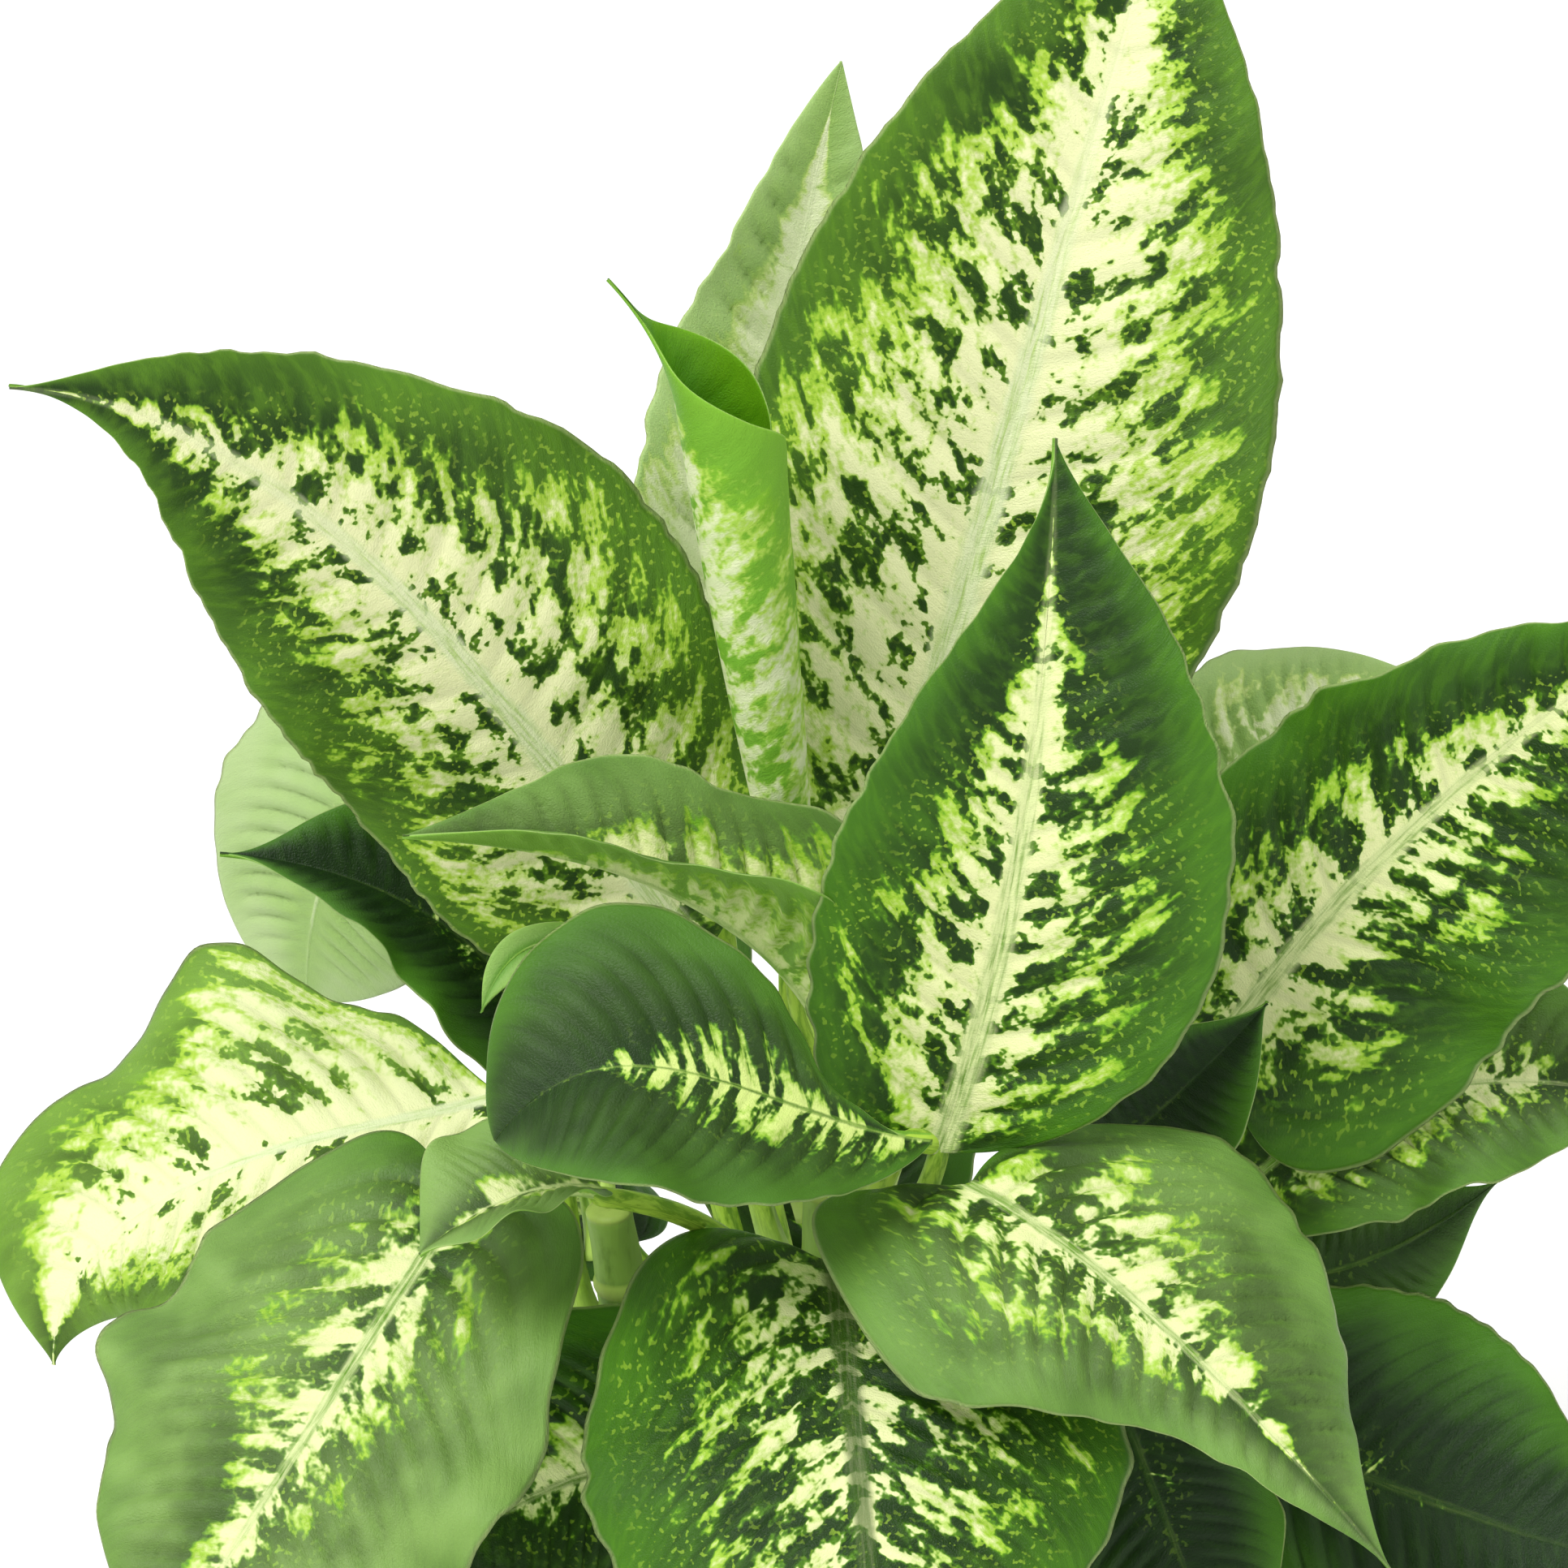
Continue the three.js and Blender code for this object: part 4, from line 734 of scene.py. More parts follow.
class Finish:
    """A material under construction: adds nodes and wires them by value or by socket."""

    def __init__(self, name):
        self.material = bpy.data.materials.new(name)
        self.material.use_nodes = True
        self.tree = self.material.node_tree
        self.tree.nodes.clear()

    def add(self, kind, inputs=None, **settings):
        """A node with its settings; an input is a socket to wire up or a value to set."""
        node = self.tree.nodes.new(kind)
        for key, value in settings.items():
            setattr(node, key, value)
        for key, value in (inputs or {}).items():
            if isinstance(value, bpy.types.NodeSocket):
                self.tree.links.new(value, node.inputs[key])
            else:
                node.inputs[key].default_value = value
        return node

    def attribute(self, name, output="Fac"):
        return self.add("ShaderNodeAttribute", attribute_name=name).outputs[output]

    def place(self):
        return self.add("ShaderNodeTexCoord").outputs["Object"]

    def split(self, vector):
        return self.add("ShaderNodeSeparateXYZ", {0: vector}).outputs

    def join(self, x, y, z):
        return self.add("ShaderNodeCombineXYZ", {0: x, 1: y, 2: z}).outputs[0]

    def math(self, operation, a, b=0.0, c=0.0):
        return self.add("ShaderNodeMath", {0: a, 1: b, 2: c}, operation=operation).outputs[0]

    def plus(self, a, b):
        return self.math("ADD", a, b)

    def minus(self, a, b):
        return self.math("SUBTRACT", a, b)

    def times(self, a, b):
        return self.math("MULTIPLY", a, b)

    def line(self, value, slope, offset):
        """slope times the value, plus the offset."""
        return self.math("MULTIPLY_ADD", value, slope, offset)

    def scaled(self, vector, factors):
        return self.add("ShaderNodeVectorMath", {0: vector, 1: factors}, operation="MULTIPLY").outputs[0]

    def step(self, value, low, high):
        """0 at low, 1 at high, smooth between; falls instead when low is above high."""
        start, end = (0.0, 1.0) if low <= high else (1.0, 0.0)
        inputs = {0: value, 1: min(low, high), 2: max(low, high), 3: start, 4: end}
        node = self.add("ShaderNodeMapRange", inputs, interpolation_type="SMOOTHSTEP", clamp=True)
        return node.outputs[0]

    def mix(self, factor, a, b):
        """a at factor 0 and b at 1; each is a socket or a colour."""
        a, b = (c if isinstance(c, bpy.types.NodeSocket) else tone(c) for c in (a, b))
        node = self.add("ShaderNodeMix", {0: factor, 6: a, 7: b}, data_type="RGBA", clamp_factor=True)
        return node.outputs[2]

    def noise(self, vector, scale, detail, roughness, distortion=0.0):
        inputs = {"Vector": vector, "Scale": scale, "Detail": detail, "Roughness": roughness,
                  "Distortion": distortion}
        return self.add("ShaderNodeTexNoise", inputs).outputs["Fac"]

    def spots(self, vector, scale):
        return self.add("ShaderNodeTexVoronoi", {"Vector": vector, "Scale": scale}).outputs

    def bump(self, height, strength, distance):
        inputs = {"Strength": strength, "Distance": distance, "Height": height}
        return self.add("ShaderNodeBump", inputs).outputs[0]

    def close(self, colour, roughness, normal=None, glow=None, through=0.0, **constants):
        """The finished material; glow is the colour of the share of light let through."""
        inputs = {"Base Color": colour, "Roughness": roughness}
        if normal is not None:
            inputs["Normal"] = normal
        body = self.add("ShaderNodeBsdfPrincipled", inputs)
        for key, value in constants.items():
            body.inputs[key.replace("_", " ")].default_value = value
        surface = body.outputs[0]
        if glow is not None:
            lit = self.add("ShaderNodeBsdfTranslucent", {"Color": glow}).outputs[0]
            surface = self.add("ShaderNodeMixShader", {0: through, 1: surface, 2: lit}).outputs[0]
        self.add("ShaderNodeOutputMaterial", {"Surface": surface})
        return self.material


def made_once(name, build):
    """The material of that name, built the first time it is asked for."""
    return bpy.data.materials.get(name) or build(Finish(name))


def leaf_finish(slot, under):
    """Blade: ragged cream patches lie along the side veins inside a flame at the midrib.

    Three noises are raised by the flame's bias; where they pass zero the blade is pale,
    lime at a patch's rim and cream in its heart, with a bright halo. The green goes from
    deep to bright toward the margin, unevenly, with lime specks round the flame and
    painted shade, a deeper green, in the valleys of the side veins; a painted sheen turns
    it a dusty pale green. The midrib is a pale band with streaks, and the margin a thin
    pale line. The underside is paler and duller.
    """
    tones = TONES[slot]

    def build(f):
        out, vein, along = f.split(f.attribute("pattern", "Vector"))
        bias, ratio, share = f.split(f.attribute("marking", "Vector"))
        reach, rib_green = f.attribute("reach"), f.attribute("green_rib")

        def grain(run, wide, long, detail, roughness, distortion=0.0, shift=0.0):
            """Noise with so many grains per centimetre across the blade and along the run."""
            place = f.join(f.times(out, wide), f.times(run, long), shift)
            return f.noise(place, 1.0, detail, roughness, distortion)

        def swing(noise, size):
            return f.times(f.minus(noise, 0.5), size)

        drawn = tones["drawn"] ** 0.5
        blotch = grain(vein, 1.25 / drawn, 1.25 * drawn, 2.0, 0.45, 0.3)
        ragged = grain(vein, 3.2 / drawn, 3.2 * drawn, 2.0, 0.5, 0.2, 5.0)
        fleck = grain(along, 8.0, 8.0, 1.0, 0.5, 0.0, 3.0)
        broad = grain(along, 0.6, 0.5, 2.0, 0.5, 0.0, 9.0)

        # Pale patches, and how far into its heart each point of them is.
        depth = f.plus(f.plus(swing(blotch, 1.0), bias), swing(ragged, 0.6))
        depth = f.plus(depth, swing(fleck, 0.2))
        patch = f.step(f.line(f.math("DIVIDE", depth, f.attribute("soft")), 0.5, 0.5), 0.0, 1.0)
        halo = f.step(depth, -0.09, 0.0)
        heart = f.line(depth, 3.2, f.minus(0.95, ratio))
        heart = f.plus(f.plus(heart, swing(fleck, 0.7)), swing(ragged, 1.0))
        if under:
            heart = f.minus(heart, 0.35)
        pale = f.mix(f.step(heart, -0.35, 0.3), tones["bright"], tones["lime"])
        pale = f.mix(f.step(heart, 0.15, 1.15), pale, tones["cream"])

        # The green between them, with its halo and specks.
        tint = f.plus(reach, swing(broad, 0.9))
        green = f.mix(f.step(tint, 0.35, 1.15), tones["deep"], tones["edge"])
        mottle = f.times(f.step(ragged, 0.42, 0.66), tones["mottle"])
        green = f.mix(mottle, green, tones["bright"])
        green = f.mix(f.times(halo, 0.55), green, tones["bright"])
        near = f.times(f.step(ratio, 2.1, 0.9), f.step(broad, 0.36, 0.56))
        speck = f.times(f.step(fleck, 0.585, 0.65), near)
        speck = f.times(speck, f.step(bias, -0.6, -0.3))
        green = f.mix(f.times(speck, min(0.6, 4 * tones["mottle"])), green, tones["lime"])
        colour = f.mix(patch, green, pale)

        # Painted shade: a deeper green in the valleys of the side veins, where the quilted relief would be
        # shaded.
        valley = f.math("ABSOLUTE", f.math("SINE", f.times(f.attribute("groove"), math.pi)))
        painted_groove_shade = f.times(f.step(valley, 0.55, 0.0), f.times(f.step(reach, 0.95, 0.6), 0.4))
        colour = f.mix(f.times(painted_groove_shade, f.line(patch, -0.7, 1.0)), colour, tones["deep"])
        # Painted sheen: a dusty pale green standing for the soft reflection of the white surroundings,
        # fainter on the pale patches and patchy with the broad noise.
        dust_and_sheen = f.times(f.minus(1.0, f.times(patch, 0.75)), 0.8)
        bloom = f.times(f.attribute("bloom"), f.line(f.step(broad, 0.34, 0.66), 0.5, 0.5))
        colour = f.mix(f.times(dust_and_sheen, bloom), colour, tones["sheen_green"])

        # The midrib with its streaks, and the margin.
        streak = f.line(rib_green, 0.20, grain(vein, 14.0, 1.1, 3.0, 0.6))
        streak = f.line(share, -0.10, streak)
        stem = f.mix(f.step(streak, 0.40, 0.76), tones["rib"], tones["stem"])
        stem = f.mix(f.times(f.step(rib_green, 0.6, 1.1), 0.85), stem, tones["deep"])
        across = f.plus(f.attribute("rib"), swing(ragged, 0.9))
        clear = f.line(f.step(share, 0.95, 0.45), 0.75, 0.1)
        colour = f.mix(f.times(f.step(across, 1.3, 0.5), clear), colour, stem)
        colour = f.mix(f.times(f.step(reach, 0.975, 0.995), 0.55), colour, "#cde392")
        if under:
            colour = f.mix(f.line(patch, -0.3, 0.55), colour, "#8cc63e")

        # Fine relief and gloss.
        skin = grain(vein, 12.0, 26.0, 3.0, 0.6)
        pebble = grain(along, 30.0, 30.0, 1.0, 0.5)
        fine = f.math("SINE", f.times(vein, 26.0))
        relief = f.line(fine, 0.1, f.line(pebble, 0.7, skin))
        rough = f.line(skin, 0.16, 0.48 if under else 0.33)
        glow = f.mix(0.45, colour, tones["lime"])
        return f.close(colour, rough, f.bump(relief, 0.65, 0.0003), glow, 0.12, Specular_IOR_Level=0.25)

    return made_once(slot + ("_underside" if under else "_blade"), build)


def stalk_finish():
    """Stalk: pale green with darker mottling drawn out along it, paler at the sheath."""

    def build(f):
        around, length, seed = f.split(f.attribute("pattern", "Vector"))
        share = f.split(f.attribute("marking", "Vector"))[2]
        place = f.join(f.times(around, 3.0), f.times(length, 1.1), seed)
        mottle = f.noise(place, 1.0, 6.0, 0.65, 0.3)
        colour = f.mix(f.step(mottle, 0.42, 0.62), "#a6c944", "#6b9624")
        colour = f.mix(f.step(share, 0.25, 0.0), colour, "#bcd86c")
        place = f.join(f.times(around, 22.0), f.times(length, 0.8), seed)
        normal = f.bump(f.noise(place, 1.0, 2.0, 0.5), 0.3, 0.0003)
        return f.close(colour, f.line(mottle, 0.15, 0.4), normal, Specular_IOR_Level=0.25)

    return made_once("stalk_skin", build)


def cane_finish(colour):
    """Cane: green going to tan low down, ringed with pale scars at every joint."""

    def build(f):
        place = f.place()
        z = f.split(place)[2]
        mottle = f.noise(f.scaled(place, (1.0, 1.0, 0.35)), 190.0, 5.0, 0.6)
        base = f.mix(f.step(z, 0.15, 0.115), tuple(colour), "#8f8a5c")
        base = f.mix(f.step(mottle, 0.45, 0.7), base, "#557426")
        ring = f.attribute("ring")
        base = f.mix(f.times(f.step(ring, 0.86, 0.97), 0.6), base, "#a3b55a")
        fibre = f.noise(f.scaled(place, (1.0, 1.0, 0.06)), 900.0, 2.0, 0.5)
        normal = f.bump(f.line(ring, 0.8, fibre), 0.35, 0.0004)
        return f.close(base, f.line(mottle, 0.2, 0.42), normal, Specular_IOR_Level=0.2)

    return made_once("cane_bark", build)


def soil_finish(colour):
    """Potting mix: near-black peat with brown bark and a few pale grains."""

    def build(f):
        place = f.place()
        grain = f.noise(place, 260.0, 6.0, 0.7)
        cell = f.spots(place, 300.0)
        base = f.mix(f.step(grain, 0.4, 0.68), tuple(colour), "#4a3322")
        base = f.mix(f.step(f.split(cell["Color"])[0], 0.93, 0.96), base, "#8c7558")
        normal = f.bump(f.minus(grain, cell["Distance"]), 0.8, 0.0012)
        return f.close(base, f.line(grain, 0.15, 0.8), normal, Specular_IOR_Level=0.3)

    return made_once("potting_mix", build)


def pot_finish(colour):
    """Moulded plastic: satin, with fine grain, faint turning lines and rubbed rim."""

    def build(f):
        place = f.place()
        z = f.split(place)[2]
        grain = f.noise(place, 900.0, 3.0, 0.6)
        cloud = f.noise(place, 22.0, 4.0, 0.55)
        lines = f.noise(f.join(0.0, 0.0, z), 700.0, 2.0, 0.5)
        base = f.mix(f.times(f.step(cloud, 0.35, 0.7), 0.3), tuple(colour), "#4a4d4d")
        base = f.mix(f.times(f.step(z, 0.1195, 0.1225), 0.35), base, "#6d7070")
        dust_and_sheen = f.times(f.step(z, 0.02, 0.0), f.step(grain, 0.45, 0.7))
        base = f.mix(f.times(dust_and_sheen, 0.35), base, "#857a6b")
        normal = f.bump(f.line(lines, 0.6, grain), 0.2, 0.0003)
        return f.close(base, f.line(cloud, 0.16, 0.4), normal, Specular_IOR_Level=0.45)

    return made_once("moulded_plastic", build)


def floor_finish(colour):
    """Floor: near-white and matte, with the faintest unevenness."""

    def build(f):
        cloud = f.noise(f.place(), 3.0, 2.0, 0.5)
        base = f.mix(f.times(cloud, 0.02), tuple(colour), "#f0f0ee")
        return f.close(base, 0.8, Specular_IOR_Level=0.1)

    return made_once("pale_floor", build)


# ---- Canes, soil and pot ----------------------------------------------------------
def cane_object(name, settings):
    """A bar up the cane's axis: swollen ringed joints, and a top that rounds over."""
    cane = CANES[name]
    foot = soil_height(math.hypot(*cane["foot"])) - CANE_BURIED_DEPTH
    top = cane["top"][2]
    dome = np.linspace(0.2, 1.35, CANE_DOME_ROWS)
    z = np.append(np.linspace(foot, top - 2, CANE_ROWS), top - 2 * (1 - np.sin(dome)))
    joint = 0.5 + 0.5 * np.cos(2 * np.pi * (top - z) / CANE_JOINT_SPACING)
    radii = cane_radius(cane, z) - CANE_RING_GROOVE * np.exp(-(((joint - 0.9) / 0.05) ** 2))
    radii[-CANE_DOME_ROWS:] *= np.cos(dome) ** 0.5
    points, faces, angle, _ = bar(cane_axis(cane, z), radii, np.array([1.0, 0, 0]), CANE_SIDES)
    out = np.stack([np.cos(angle), np.sin(angle), np.zeros_like(angle)], -1)
    bark = CANE_RIPPLE * ripples(points * np.array([1, 1, 0.4]), CANE_RIPPLE_LENGTH, 5)
    points = points + out * bark[:, None]
    ring = np.append(np.repeat(joint, CANE_SIDES), [joint[0], joint[-1]])
    finish = cane_finish(settings.cane_colour)
    made = mesh_object(name + "_look", points, faces, [finish], None, {"ring": ring[:, None]})
    return placed(made, name)


def turned(profile, sides):
    """A profile of (radius, height) turned about the axis; its two ends are one point each."""
    profile = np.asarray(profile, float)
    angle = 2 * np.pi * np.arange(sides) / sides
    ring = np.stack([np.cos(angle), np.sin(angle)], -1)
    radius, height = profile[1:-1, None, :1], profile[1:-1, None, 1:]
    height = np.broadcast_to(height, (len(height), sides, 1))
    points = np.concatenate([radius * ring, height], -1).reshape(-1, 3)
    ends = np.array([[0, 0, profile[0, 1]], [0, 0, profile[-1, 1]]])
    return np.concatenate([points, ends]), ring_faces(len(profile) - 2, sides)


def rounded(corners):
    """A profile whose corners are cut three times, at 18 and 82 % of each side."""
    corners = np.asarray(corners, float)
    for _ in range(3):
        low = corners[:-1] * 0.82 + corners[1:] * 0.18
        high = corners[:-1] * 0.18 + corners[1:] * 0.82
        middle = np.stack([low, high], 1).reshape(-1, 2)
        corners = np.concatenate([corners[:1], middle, corners[-1:]])
    return corners


def pot_inside(z):
    """The pot's inner radius at a height: an even taper from its floor to below its rim."""
    share = (z - POT_FLOOR) / (POT_HEIGHT - POT_RIM_DEPTH - POT_FLOOR)
    foot = POT_FOOT_RADIUS - POT_WALL
    return foot + (POT_BODY_TOP_RADIUS - POT_WALL - foot) * share


def pot_object(settings):
    """A turned pot: flat foot with a step above it, tapered wall, stepped rim; holes are cut."""
    rim = POT_HEIGHT - POT_RIM_DEPTH
    foot, body, lip = POT_FOOT_RADIUS, POT_BODY_TOP_RADIUS, POT_RIM_RADIUS
    corners = [
        (0, 0.0), (foot - 2.0, 0), (foot - 0.2, 0.8), (foot + 0.3, 3.5), (foot + 0.4, 8.0),
        (foot + 1.2, 9.2), (body - 0.1, rim - 0.4), (lip - 2.2, rim + 0.5),
        (lip - 0.9, rim + 1.8), (lip - 0.4, rim + 9.0), (lip, POT_HEIGHT - 3.2),
        (lip, POT_HEIGHT - 0.8), (lip - 0.9, POT_HEIGHT), (lip - POT_WALL + 0.4, POT_HEIGHT),
        (lip - POT_WALL - 0.6, POT_HEIGHT - 1.2), (body - POT_WALL + 1.5, rim + 3),
        (body - POT_WALL, rim), (foot - POT_WALL, POT_FLOOR + 1),
        (foot - POT_WALL - 2, POT_FLOOR), (0, POT_FLOOR),
    ]
    points, faces = turned(rounded(corners), POT_SIDES)
    pot = mesh_object("pot_look", points, faces, [pot_finish(settings.pot_colour)])
    drill = [(0, -6), (DRAIN_HOLE_RADIUS, -6), (DRAIN_HOLE_RADIUS, 10), (0, 10)]
    drill, drill_faces = turned(drill, 28)
    for k in range(DRAIN_HOLE_COUNT):
        angle = 2 * math.pi * (k + 0.5) / DRAIN_HOLE_COUNT
        hole = drill + DRAIN_HOLE_RING * np.array([math.cos(angle), math.sin(angle), 0])
        cutter = mesh_object("drain_cutter", hole, drill_faces, [])
        cut = pot.modifiers.new("drain", "BOOLEAN")
        cut.object = cutter
        with bpy.context.temp_override(object=pot, active_object=pot, selected_objects=[pot]):
            bpy.ops.object.modifier_apply(modifier=cut.name)
        bpy.data.objects.remove(cutter)
    return placed(pot, "pot")


def soil_crumbs(edge):
    """Small squashed balls strewn evenly over the soil inside an edge, clear of the canes."""
    draw = np.random.default_rng(21)
    turn = draw.uniform(0, 2 * np.pi, CRUMB_COUNT)
    away = (edge - 3) * np.sqrt(draw.uniform(0, 1, CRUMB_COUNT))
    centre = np.stack([away * np.cos(turn), away * np.sin(turn), soil_height(away) - 0.2], -1)
    clear = np.ones(CRUMB_COUNT, bool)
    for cane in CANES.values():
        x, y = cane["foot"]
        clear &= np.hypot(centre[:, 0] - x, centre[:, 1] - y) > CANE_FOOT_RADIUS + 2.5
    centre = centre[clear]
    size = draw.uniform(0.7, 2.3, (len(centre), 3)) * np.array([1, 1, 0.6])
    ball, ball_faces = turned([(0, -1), (0.75, -0.6), (1, 0.05), (0.7, 0.65), (0, 1)], 7)
    crumbs = ball[None] * size[:, None] + centre[:, None]
    return crumbs + 0.25 * ripples(crumbs, 2, 8)[..., None], ball_faces


def soil_object(settings):
    """A block turned to the pot's inside; its top is a dome broken up by ripples and crumbs."""
    edge = pot_inside(SOIL_EDGE_HEIGHT) - SOIL_SIDE_GAP
    foot = pot_inside(POT_FLOOR) - SOIL_SIDE_GAP
    floor = POT_FLOOR + FIT_GAP
    profile = [(0, floor), (foot - 1, floor), (foot, floor + 1), (edge, SOIL_EDGE_HEIGHT - 1.5)]
    profile += [(r, soil_height(r)) for r in np.linspace(edge, 0.4, 70)] + [(0, SOIL_CROWN_HEIGHT)]
    points, faces = turned(profile, SOIL_SIDES)
    top = points[:, 2] > SOIL_EDGE_HEIGHT - 1
    rough = sum(height * ripples(points, size, seed) for height, size, seed in SOIL_RIPPLES)
    fade = np.clip((edge - np.hypot(points[:, 0], points[:, 1])) / 4, 0.15, 1)
    points[:, 2] += np.where(top, rough * fade - 0.8, 0)
    crumbs, ball_faces = soil_crumbs(edge)
    shift = len(points) + crumbs.shape[1] * np.arange(len(crumbs))
    for face in ball_faces:
        faces += (np.asarray(face)[None] + shift[:, None]).tolist()
    points = np.concatenate([points, crumbs.reshape(-1, 3)])
    made = mesh_object("soil_look", points, faces, [soil_finish(settings.soil_colour)])
    return placed(made, "soil")


# ---- What a user would change -----------------------------------------------------
class LeafSettings(bpy.types.PropertyGroup):
    """Fineness and thickness of the blades, and their veins."""
    rows: bpy.props.IntProperty(
        name="Rows", description="Rows of faces along a blade", default=150, min=16, max=200)
    columns: bpy.props.IntProperty(
        name="Columns", description="Columns of faces on each half of a blade",
        default=36, min=6, max=60)
    blade_thickness: bpy.props.FloatProperty(
        name="Blade thickness", description="Thickness of a blade beside its midrib",
        default=0.0007, unit="LENGTH")
    quilt_height: bpy.props.FloatProperty(
        name="Quilting", description="Height of the bulges between side veins",
        default=0.0015, unit="LENGTH")
    side_veins: bpy.props.IntProperty(
        name="Side veins", description="Side veins on each half of a blade", default=17, min=4, max=40)


class PotSettings(bpy.types.PropertyGroup):
    """Colours of the pot, the soil and the canes."""
    pot_colour: bpy.props.FloatVectorProperty(
        name="Pot", description="Colour of the moulded pot", default=(0.045, 0.048, 0.05),
        size=3, min=0, max=1, subtype="COLOR")
    soil_colour: bpy.props.FloatVectorProperty(
        name="Soil", description="Colour of the damp peat", default=(0.022, 0.014, 0.009),
        size=3, min=0, max=1, subtype="COLOR")
    cane_colour: bpy.props.FloatVectorProperty(
        name="Canes", description="Green of the canes", default=(0.2, 0.33, 0.055),
        size=3, min=0, max=1, subtype="COLOR")


class StageSettings(bpy.types.PropertyGroup):
    """Floor, lights and camera."""
    floor_colour: bpy.props.FloatVectorProperty(
        name="Floor", description="Colour of the floor", default=(0.93, 0.93, 0.92),
        size=3, min=0, max=1, subtype="COLOR")
    key_power: bpy.props.FloatProperty(
        name="Key light", description="Power of the large front light",
        default=750.0, min=0, unit="POWER")
    fill_power: bpy.props.FloatProperty(
        name="Fill light", description="Power of the light from the right",
        default=90.0, min=0, unit="POWER")
    top_power: bpy.props.FloatProperty(
        name="Top light", description="Power of the light overhead",
        default=230.0, min=0, unit="POWER")
    sky: bpy.props.FloatProperty(
        name="Surroundings", description="Brightness of the white surroundings",
        default=0.55, min=0)
    lens: bpy.props.FloatProperty(
        name="Lens", description="Focal length in millimetres on a 36 mm frame",
        default=124.2, min=10)
    look_down: bpy.props.FloatProperty(
        name="Look down", description="Angle by which the camera looks down",
        default=math.radians(25), subtype="ANGLE")
    distance: bpy.props.FloatProperty(
        name="Distance", description="From the camera to the middle of the leaves",
        default=1.0, unit="LENGTH")


def build_shoot(context, cane):
    """The cane and every leaf that grows on it; each leaf's seed is its place in the table."""
    cane_object(cane, context.scene.plant_pot)
    for seed, entry in enumerate(LEAVES):
        if entry["cane"] == cane:
            leaf_object(entry, seed + 1, context.scene.plant_leaf)
    return {"FINISHED"}


class PLANT_OT_centre_shoot(bpy.types.Operator):
    """Builds the tall shoot in the middle: its cane, broad cream leaves and rolled young leaf"""
    bl_idname = "plant.centre_shoot"
    bl_label = "Centre shoot"

    def execute(self, context):
        return build_shoot(context, "cane_centre")


class PLANT_OT_front_shoot(bpy.types.Operator):
    """Builds the shoot in front: its cane and the leaves that face the viewer"""
    bl_idname = "plant.front_shoot"
    bl_label = "Front shoot"

    def execute(self, context):
        return build_shoot(context, "cane_front")


class PLANT_OT_right_shoot(bpy.types.Operator):
    """Builds the shoot on the right: its cane and leaves"""
    bl_idname = "plant.right_shoot"
    bl_label = "Right shoot"

    def execute(self, context):
        return build_shoot(context, "cane_right")


class PLANT_OT_left_shoot(bpy.types.Operator):
    """Builds the shoot on the left: its cane and leaves"""
    bl_idname = "plant.left_shoot"
    bl_label = "Left shoot"

    def execute(self, context):
        return build_shoot(context, "cane_left")


class PLANT_OT_back_shoot(bpy.types.Operator):
    """Builds the shoot at the back: its cane and leaves"""
    bl_idname = "plant.back_shoot"
    bl_label = "Back shoot"

    def execute(self, context):
        return build_shoot(context, "cane_back")


class PLANT_OT_soil(bpy.types.Operator):
    """Builds the potting mix that fills the pot"""
    bl_idname = "plant.soil"
    bl_label = "Soil"

    def execute(self, context):
        soil_object(context.scene.plant_pot)
        return {"FINISHED"}


class PLANT_OT_pot(bpy.types.Operator):
    """Builds the plain tapered pot with its rim and drain holes"""
    bl_idname = "plant.pot"
    bl_label = "Pot"

    def execute(self, context):
        pot_object(context.scene.plant_pot)
        return {"FINISHED"}


def area_light(name, place, size, power):
    """A square soft light at a place, turned toward the leaves."""
    data = bpy.data.lights.new(name, "AREA")
    data.size = size
    data.energy = power
    light = bpy.data.objects.new(name, data)
    light.location = place
    light.rotation_euler = (Vector(LIGHT_AIM) - Vector(place)).to_track_quat("-Z", "Y").to_euler()
    bpy.context.scene.collection.objects.link(light)


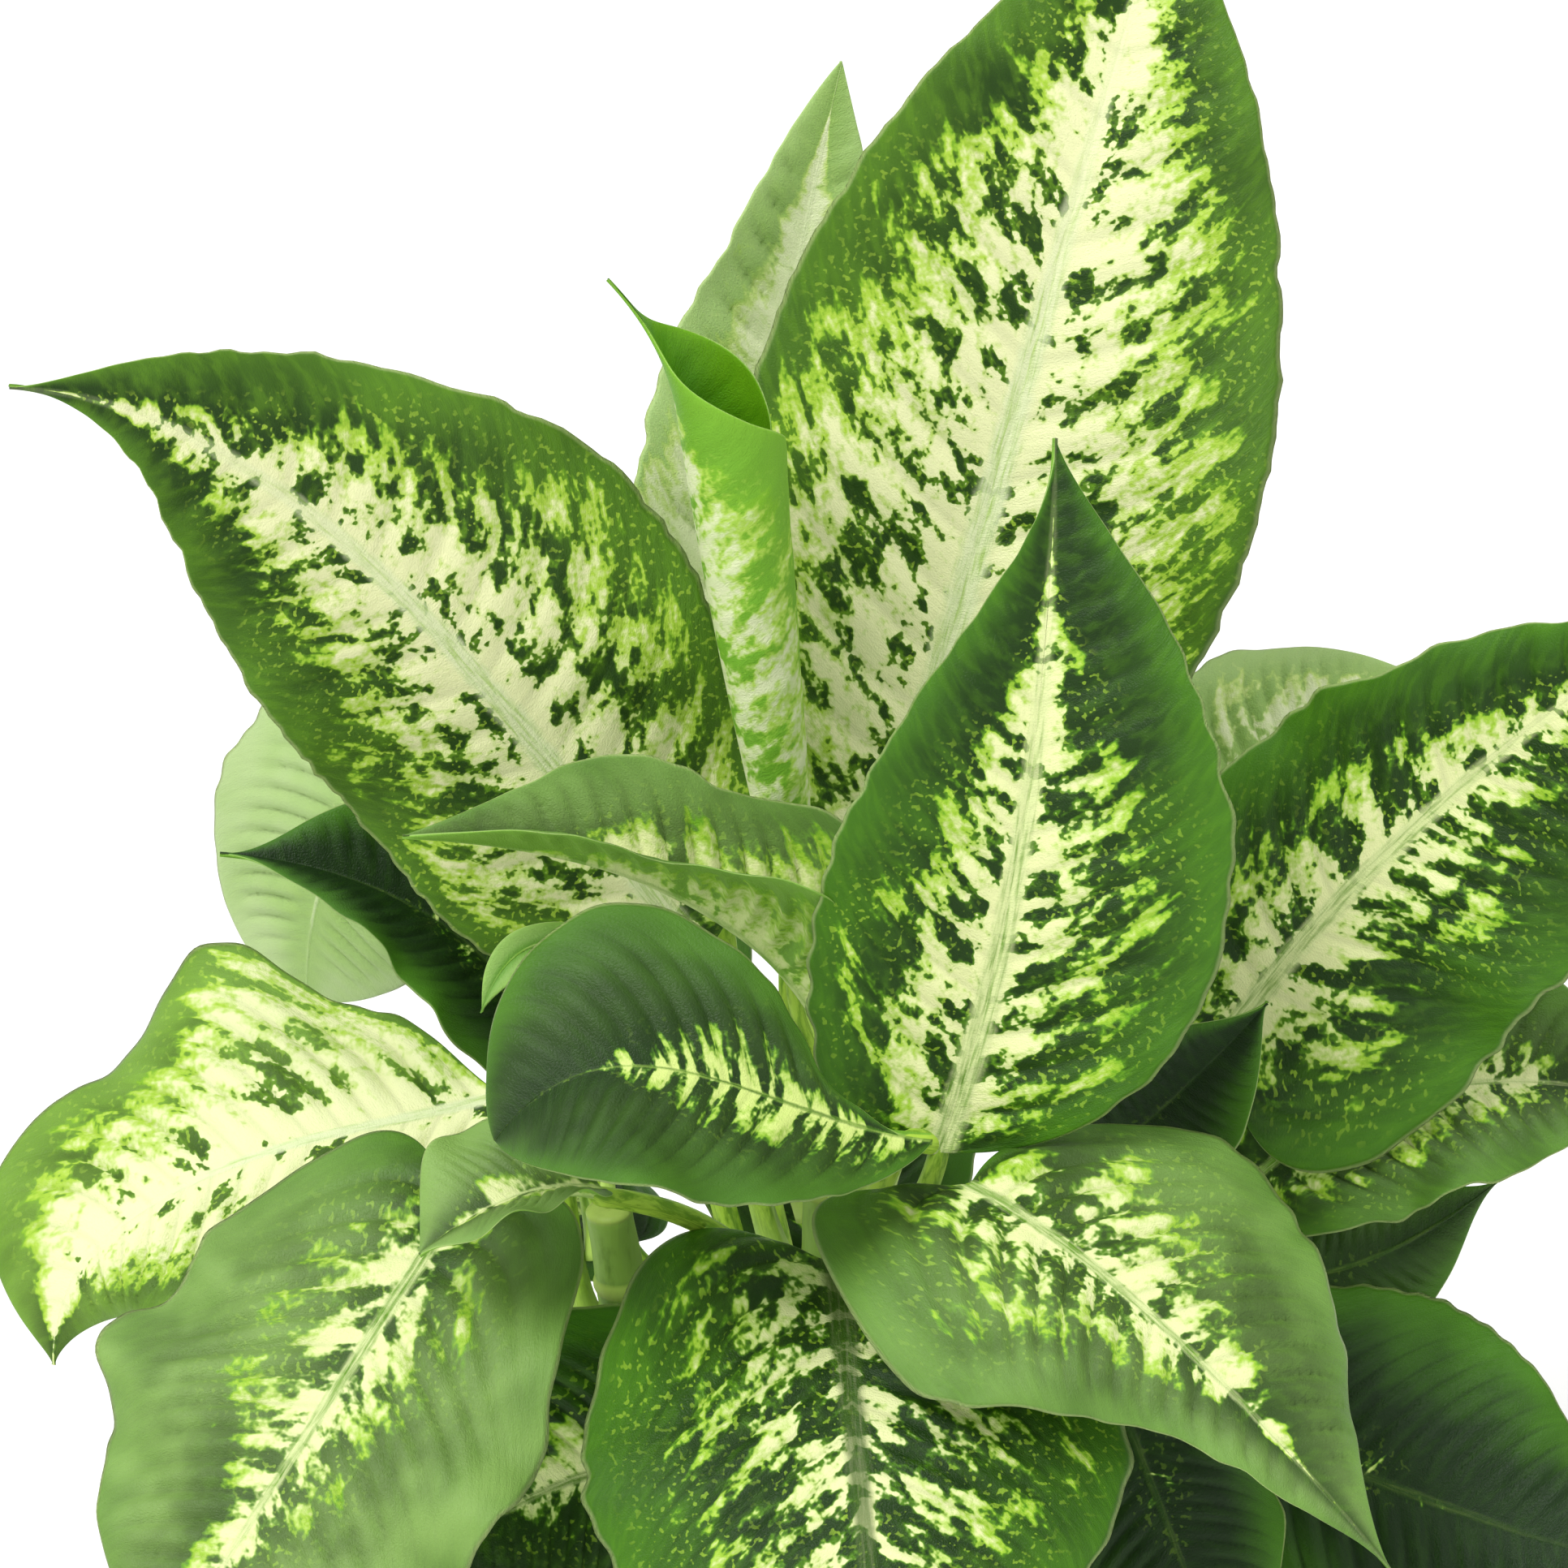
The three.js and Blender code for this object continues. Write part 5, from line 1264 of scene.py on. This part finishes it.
class PLANT_OT_stage(bpy.types.Operator):
    """Builds the pale floor, the soft lights, the white surroundings and the camera"""
    bl_idname = "plant.stage"
    bl_label = "Stage"

    def execute(self, context):
        settings = context.scene.plant_stage
        corners = np.array([(-1, -1, 0), (1, -1, 0), (1, 1, 0), (-1, 1, 0)])
        points = corners * FLOOR_REACH / MM
        floor = mesh_object("floor", points, [[0, 1, 2, 3]], [floor_finish(settings.floor_colour)])
        for name, (place, size) in LIGHTS.items():
            area_light(name + "_light", place, size, getattr(settings, name + "_power"))
        world = bpy.data.worlds.new("surroundings")
        world.use_nodes = True
        background = world.node_tree.nodes["Background"]
        background.inputs[0].default_value = (1, 1, 1, 1)
        background.inputs[1].default_value = settings.sky
        context.scene.world = world
        context.scene.view_settings.view_transform = "Standard"
        data = bpy.data.cameras.new("camera")
        data.lens = settings.lens
        data.sensor_width = SENSOR_WIDTH
        data.clip_start = 0.01
        camera = bpy.data.objects.new("camera", data)
        down = settings.look_down
        away = Vector((0, math.cos(down), -math.sin(down)))
        camera.location = Vector(CAMERA_AIM) - settings.distance * away
        camera.rotation_euler = (math.pi / 2 - down, 0, 0)
        context.scene.collection.objects.link(camera)
        context.scene.camera = camera
        return {"FINISHED"}


STEPS = ("pot", "soil", "centre_shoot", "front_shoot", "right_shoot", "left_shoot", "back_shoot", "stage")


class PLANT_PT_panel(bpy.types.Panel):
    """Lists the settings and the steps that build the plant"""
    bl_idname = "PLANT_PT_panel"
    bl_label = "Potted dieffenbachia"
    bl_space_type = "VIEW_3D"
    bl_region_type = "UI"
    bl_category = "Plant"

    def draw(self, context):
        layout = self.layout
        for group in (context.scene.plant_leaf, context.scene.plant_pot, context.scene.plant_stage):
            box = layout.box()
            for name in group.bl_rna.properties.keys():
                if name not in ("rna_type", "name"):
                    box.prop(group, name)
        for step in STEPS:
            layout.operator("plant." + step)


CLASSES = (
    LeafSettings, PotSettings, StageSettings, PLANT_OT_pot, PLANT_OT_soil, PLANT_OT_centre_shoot,
    PLANT_OT_front_shoot, PLANT_OT_right_shoot, PLANT_OT_left_shoot, PLANT_OT_back_shoot,
    PLANT_OT_stage, PLANT_PT_panel,
)
GROUPS = (("plant_leaf", LeafSettings), ("plant_pot", PotSettings), ("plant_stage", StageSettings))


def register():
    for each in CLASSES:
        bpy.utils.register_class(each)
    for name, group in GROUPS:
        setattr(bpy.types.Scene, name, bpy.props.PointerProperty(type=group))


def unregister():
    for name, _ in GROUPS:
        delattr(bpy.types.Scene, name)
    for each in reversed(CLASSES):
        bpy.utils.unregister_class(each)


def main():
    register()
    for step in STEPS:
        getattr(bpy.ops.plant, step)()


if __name__ == "__main__":
    main()
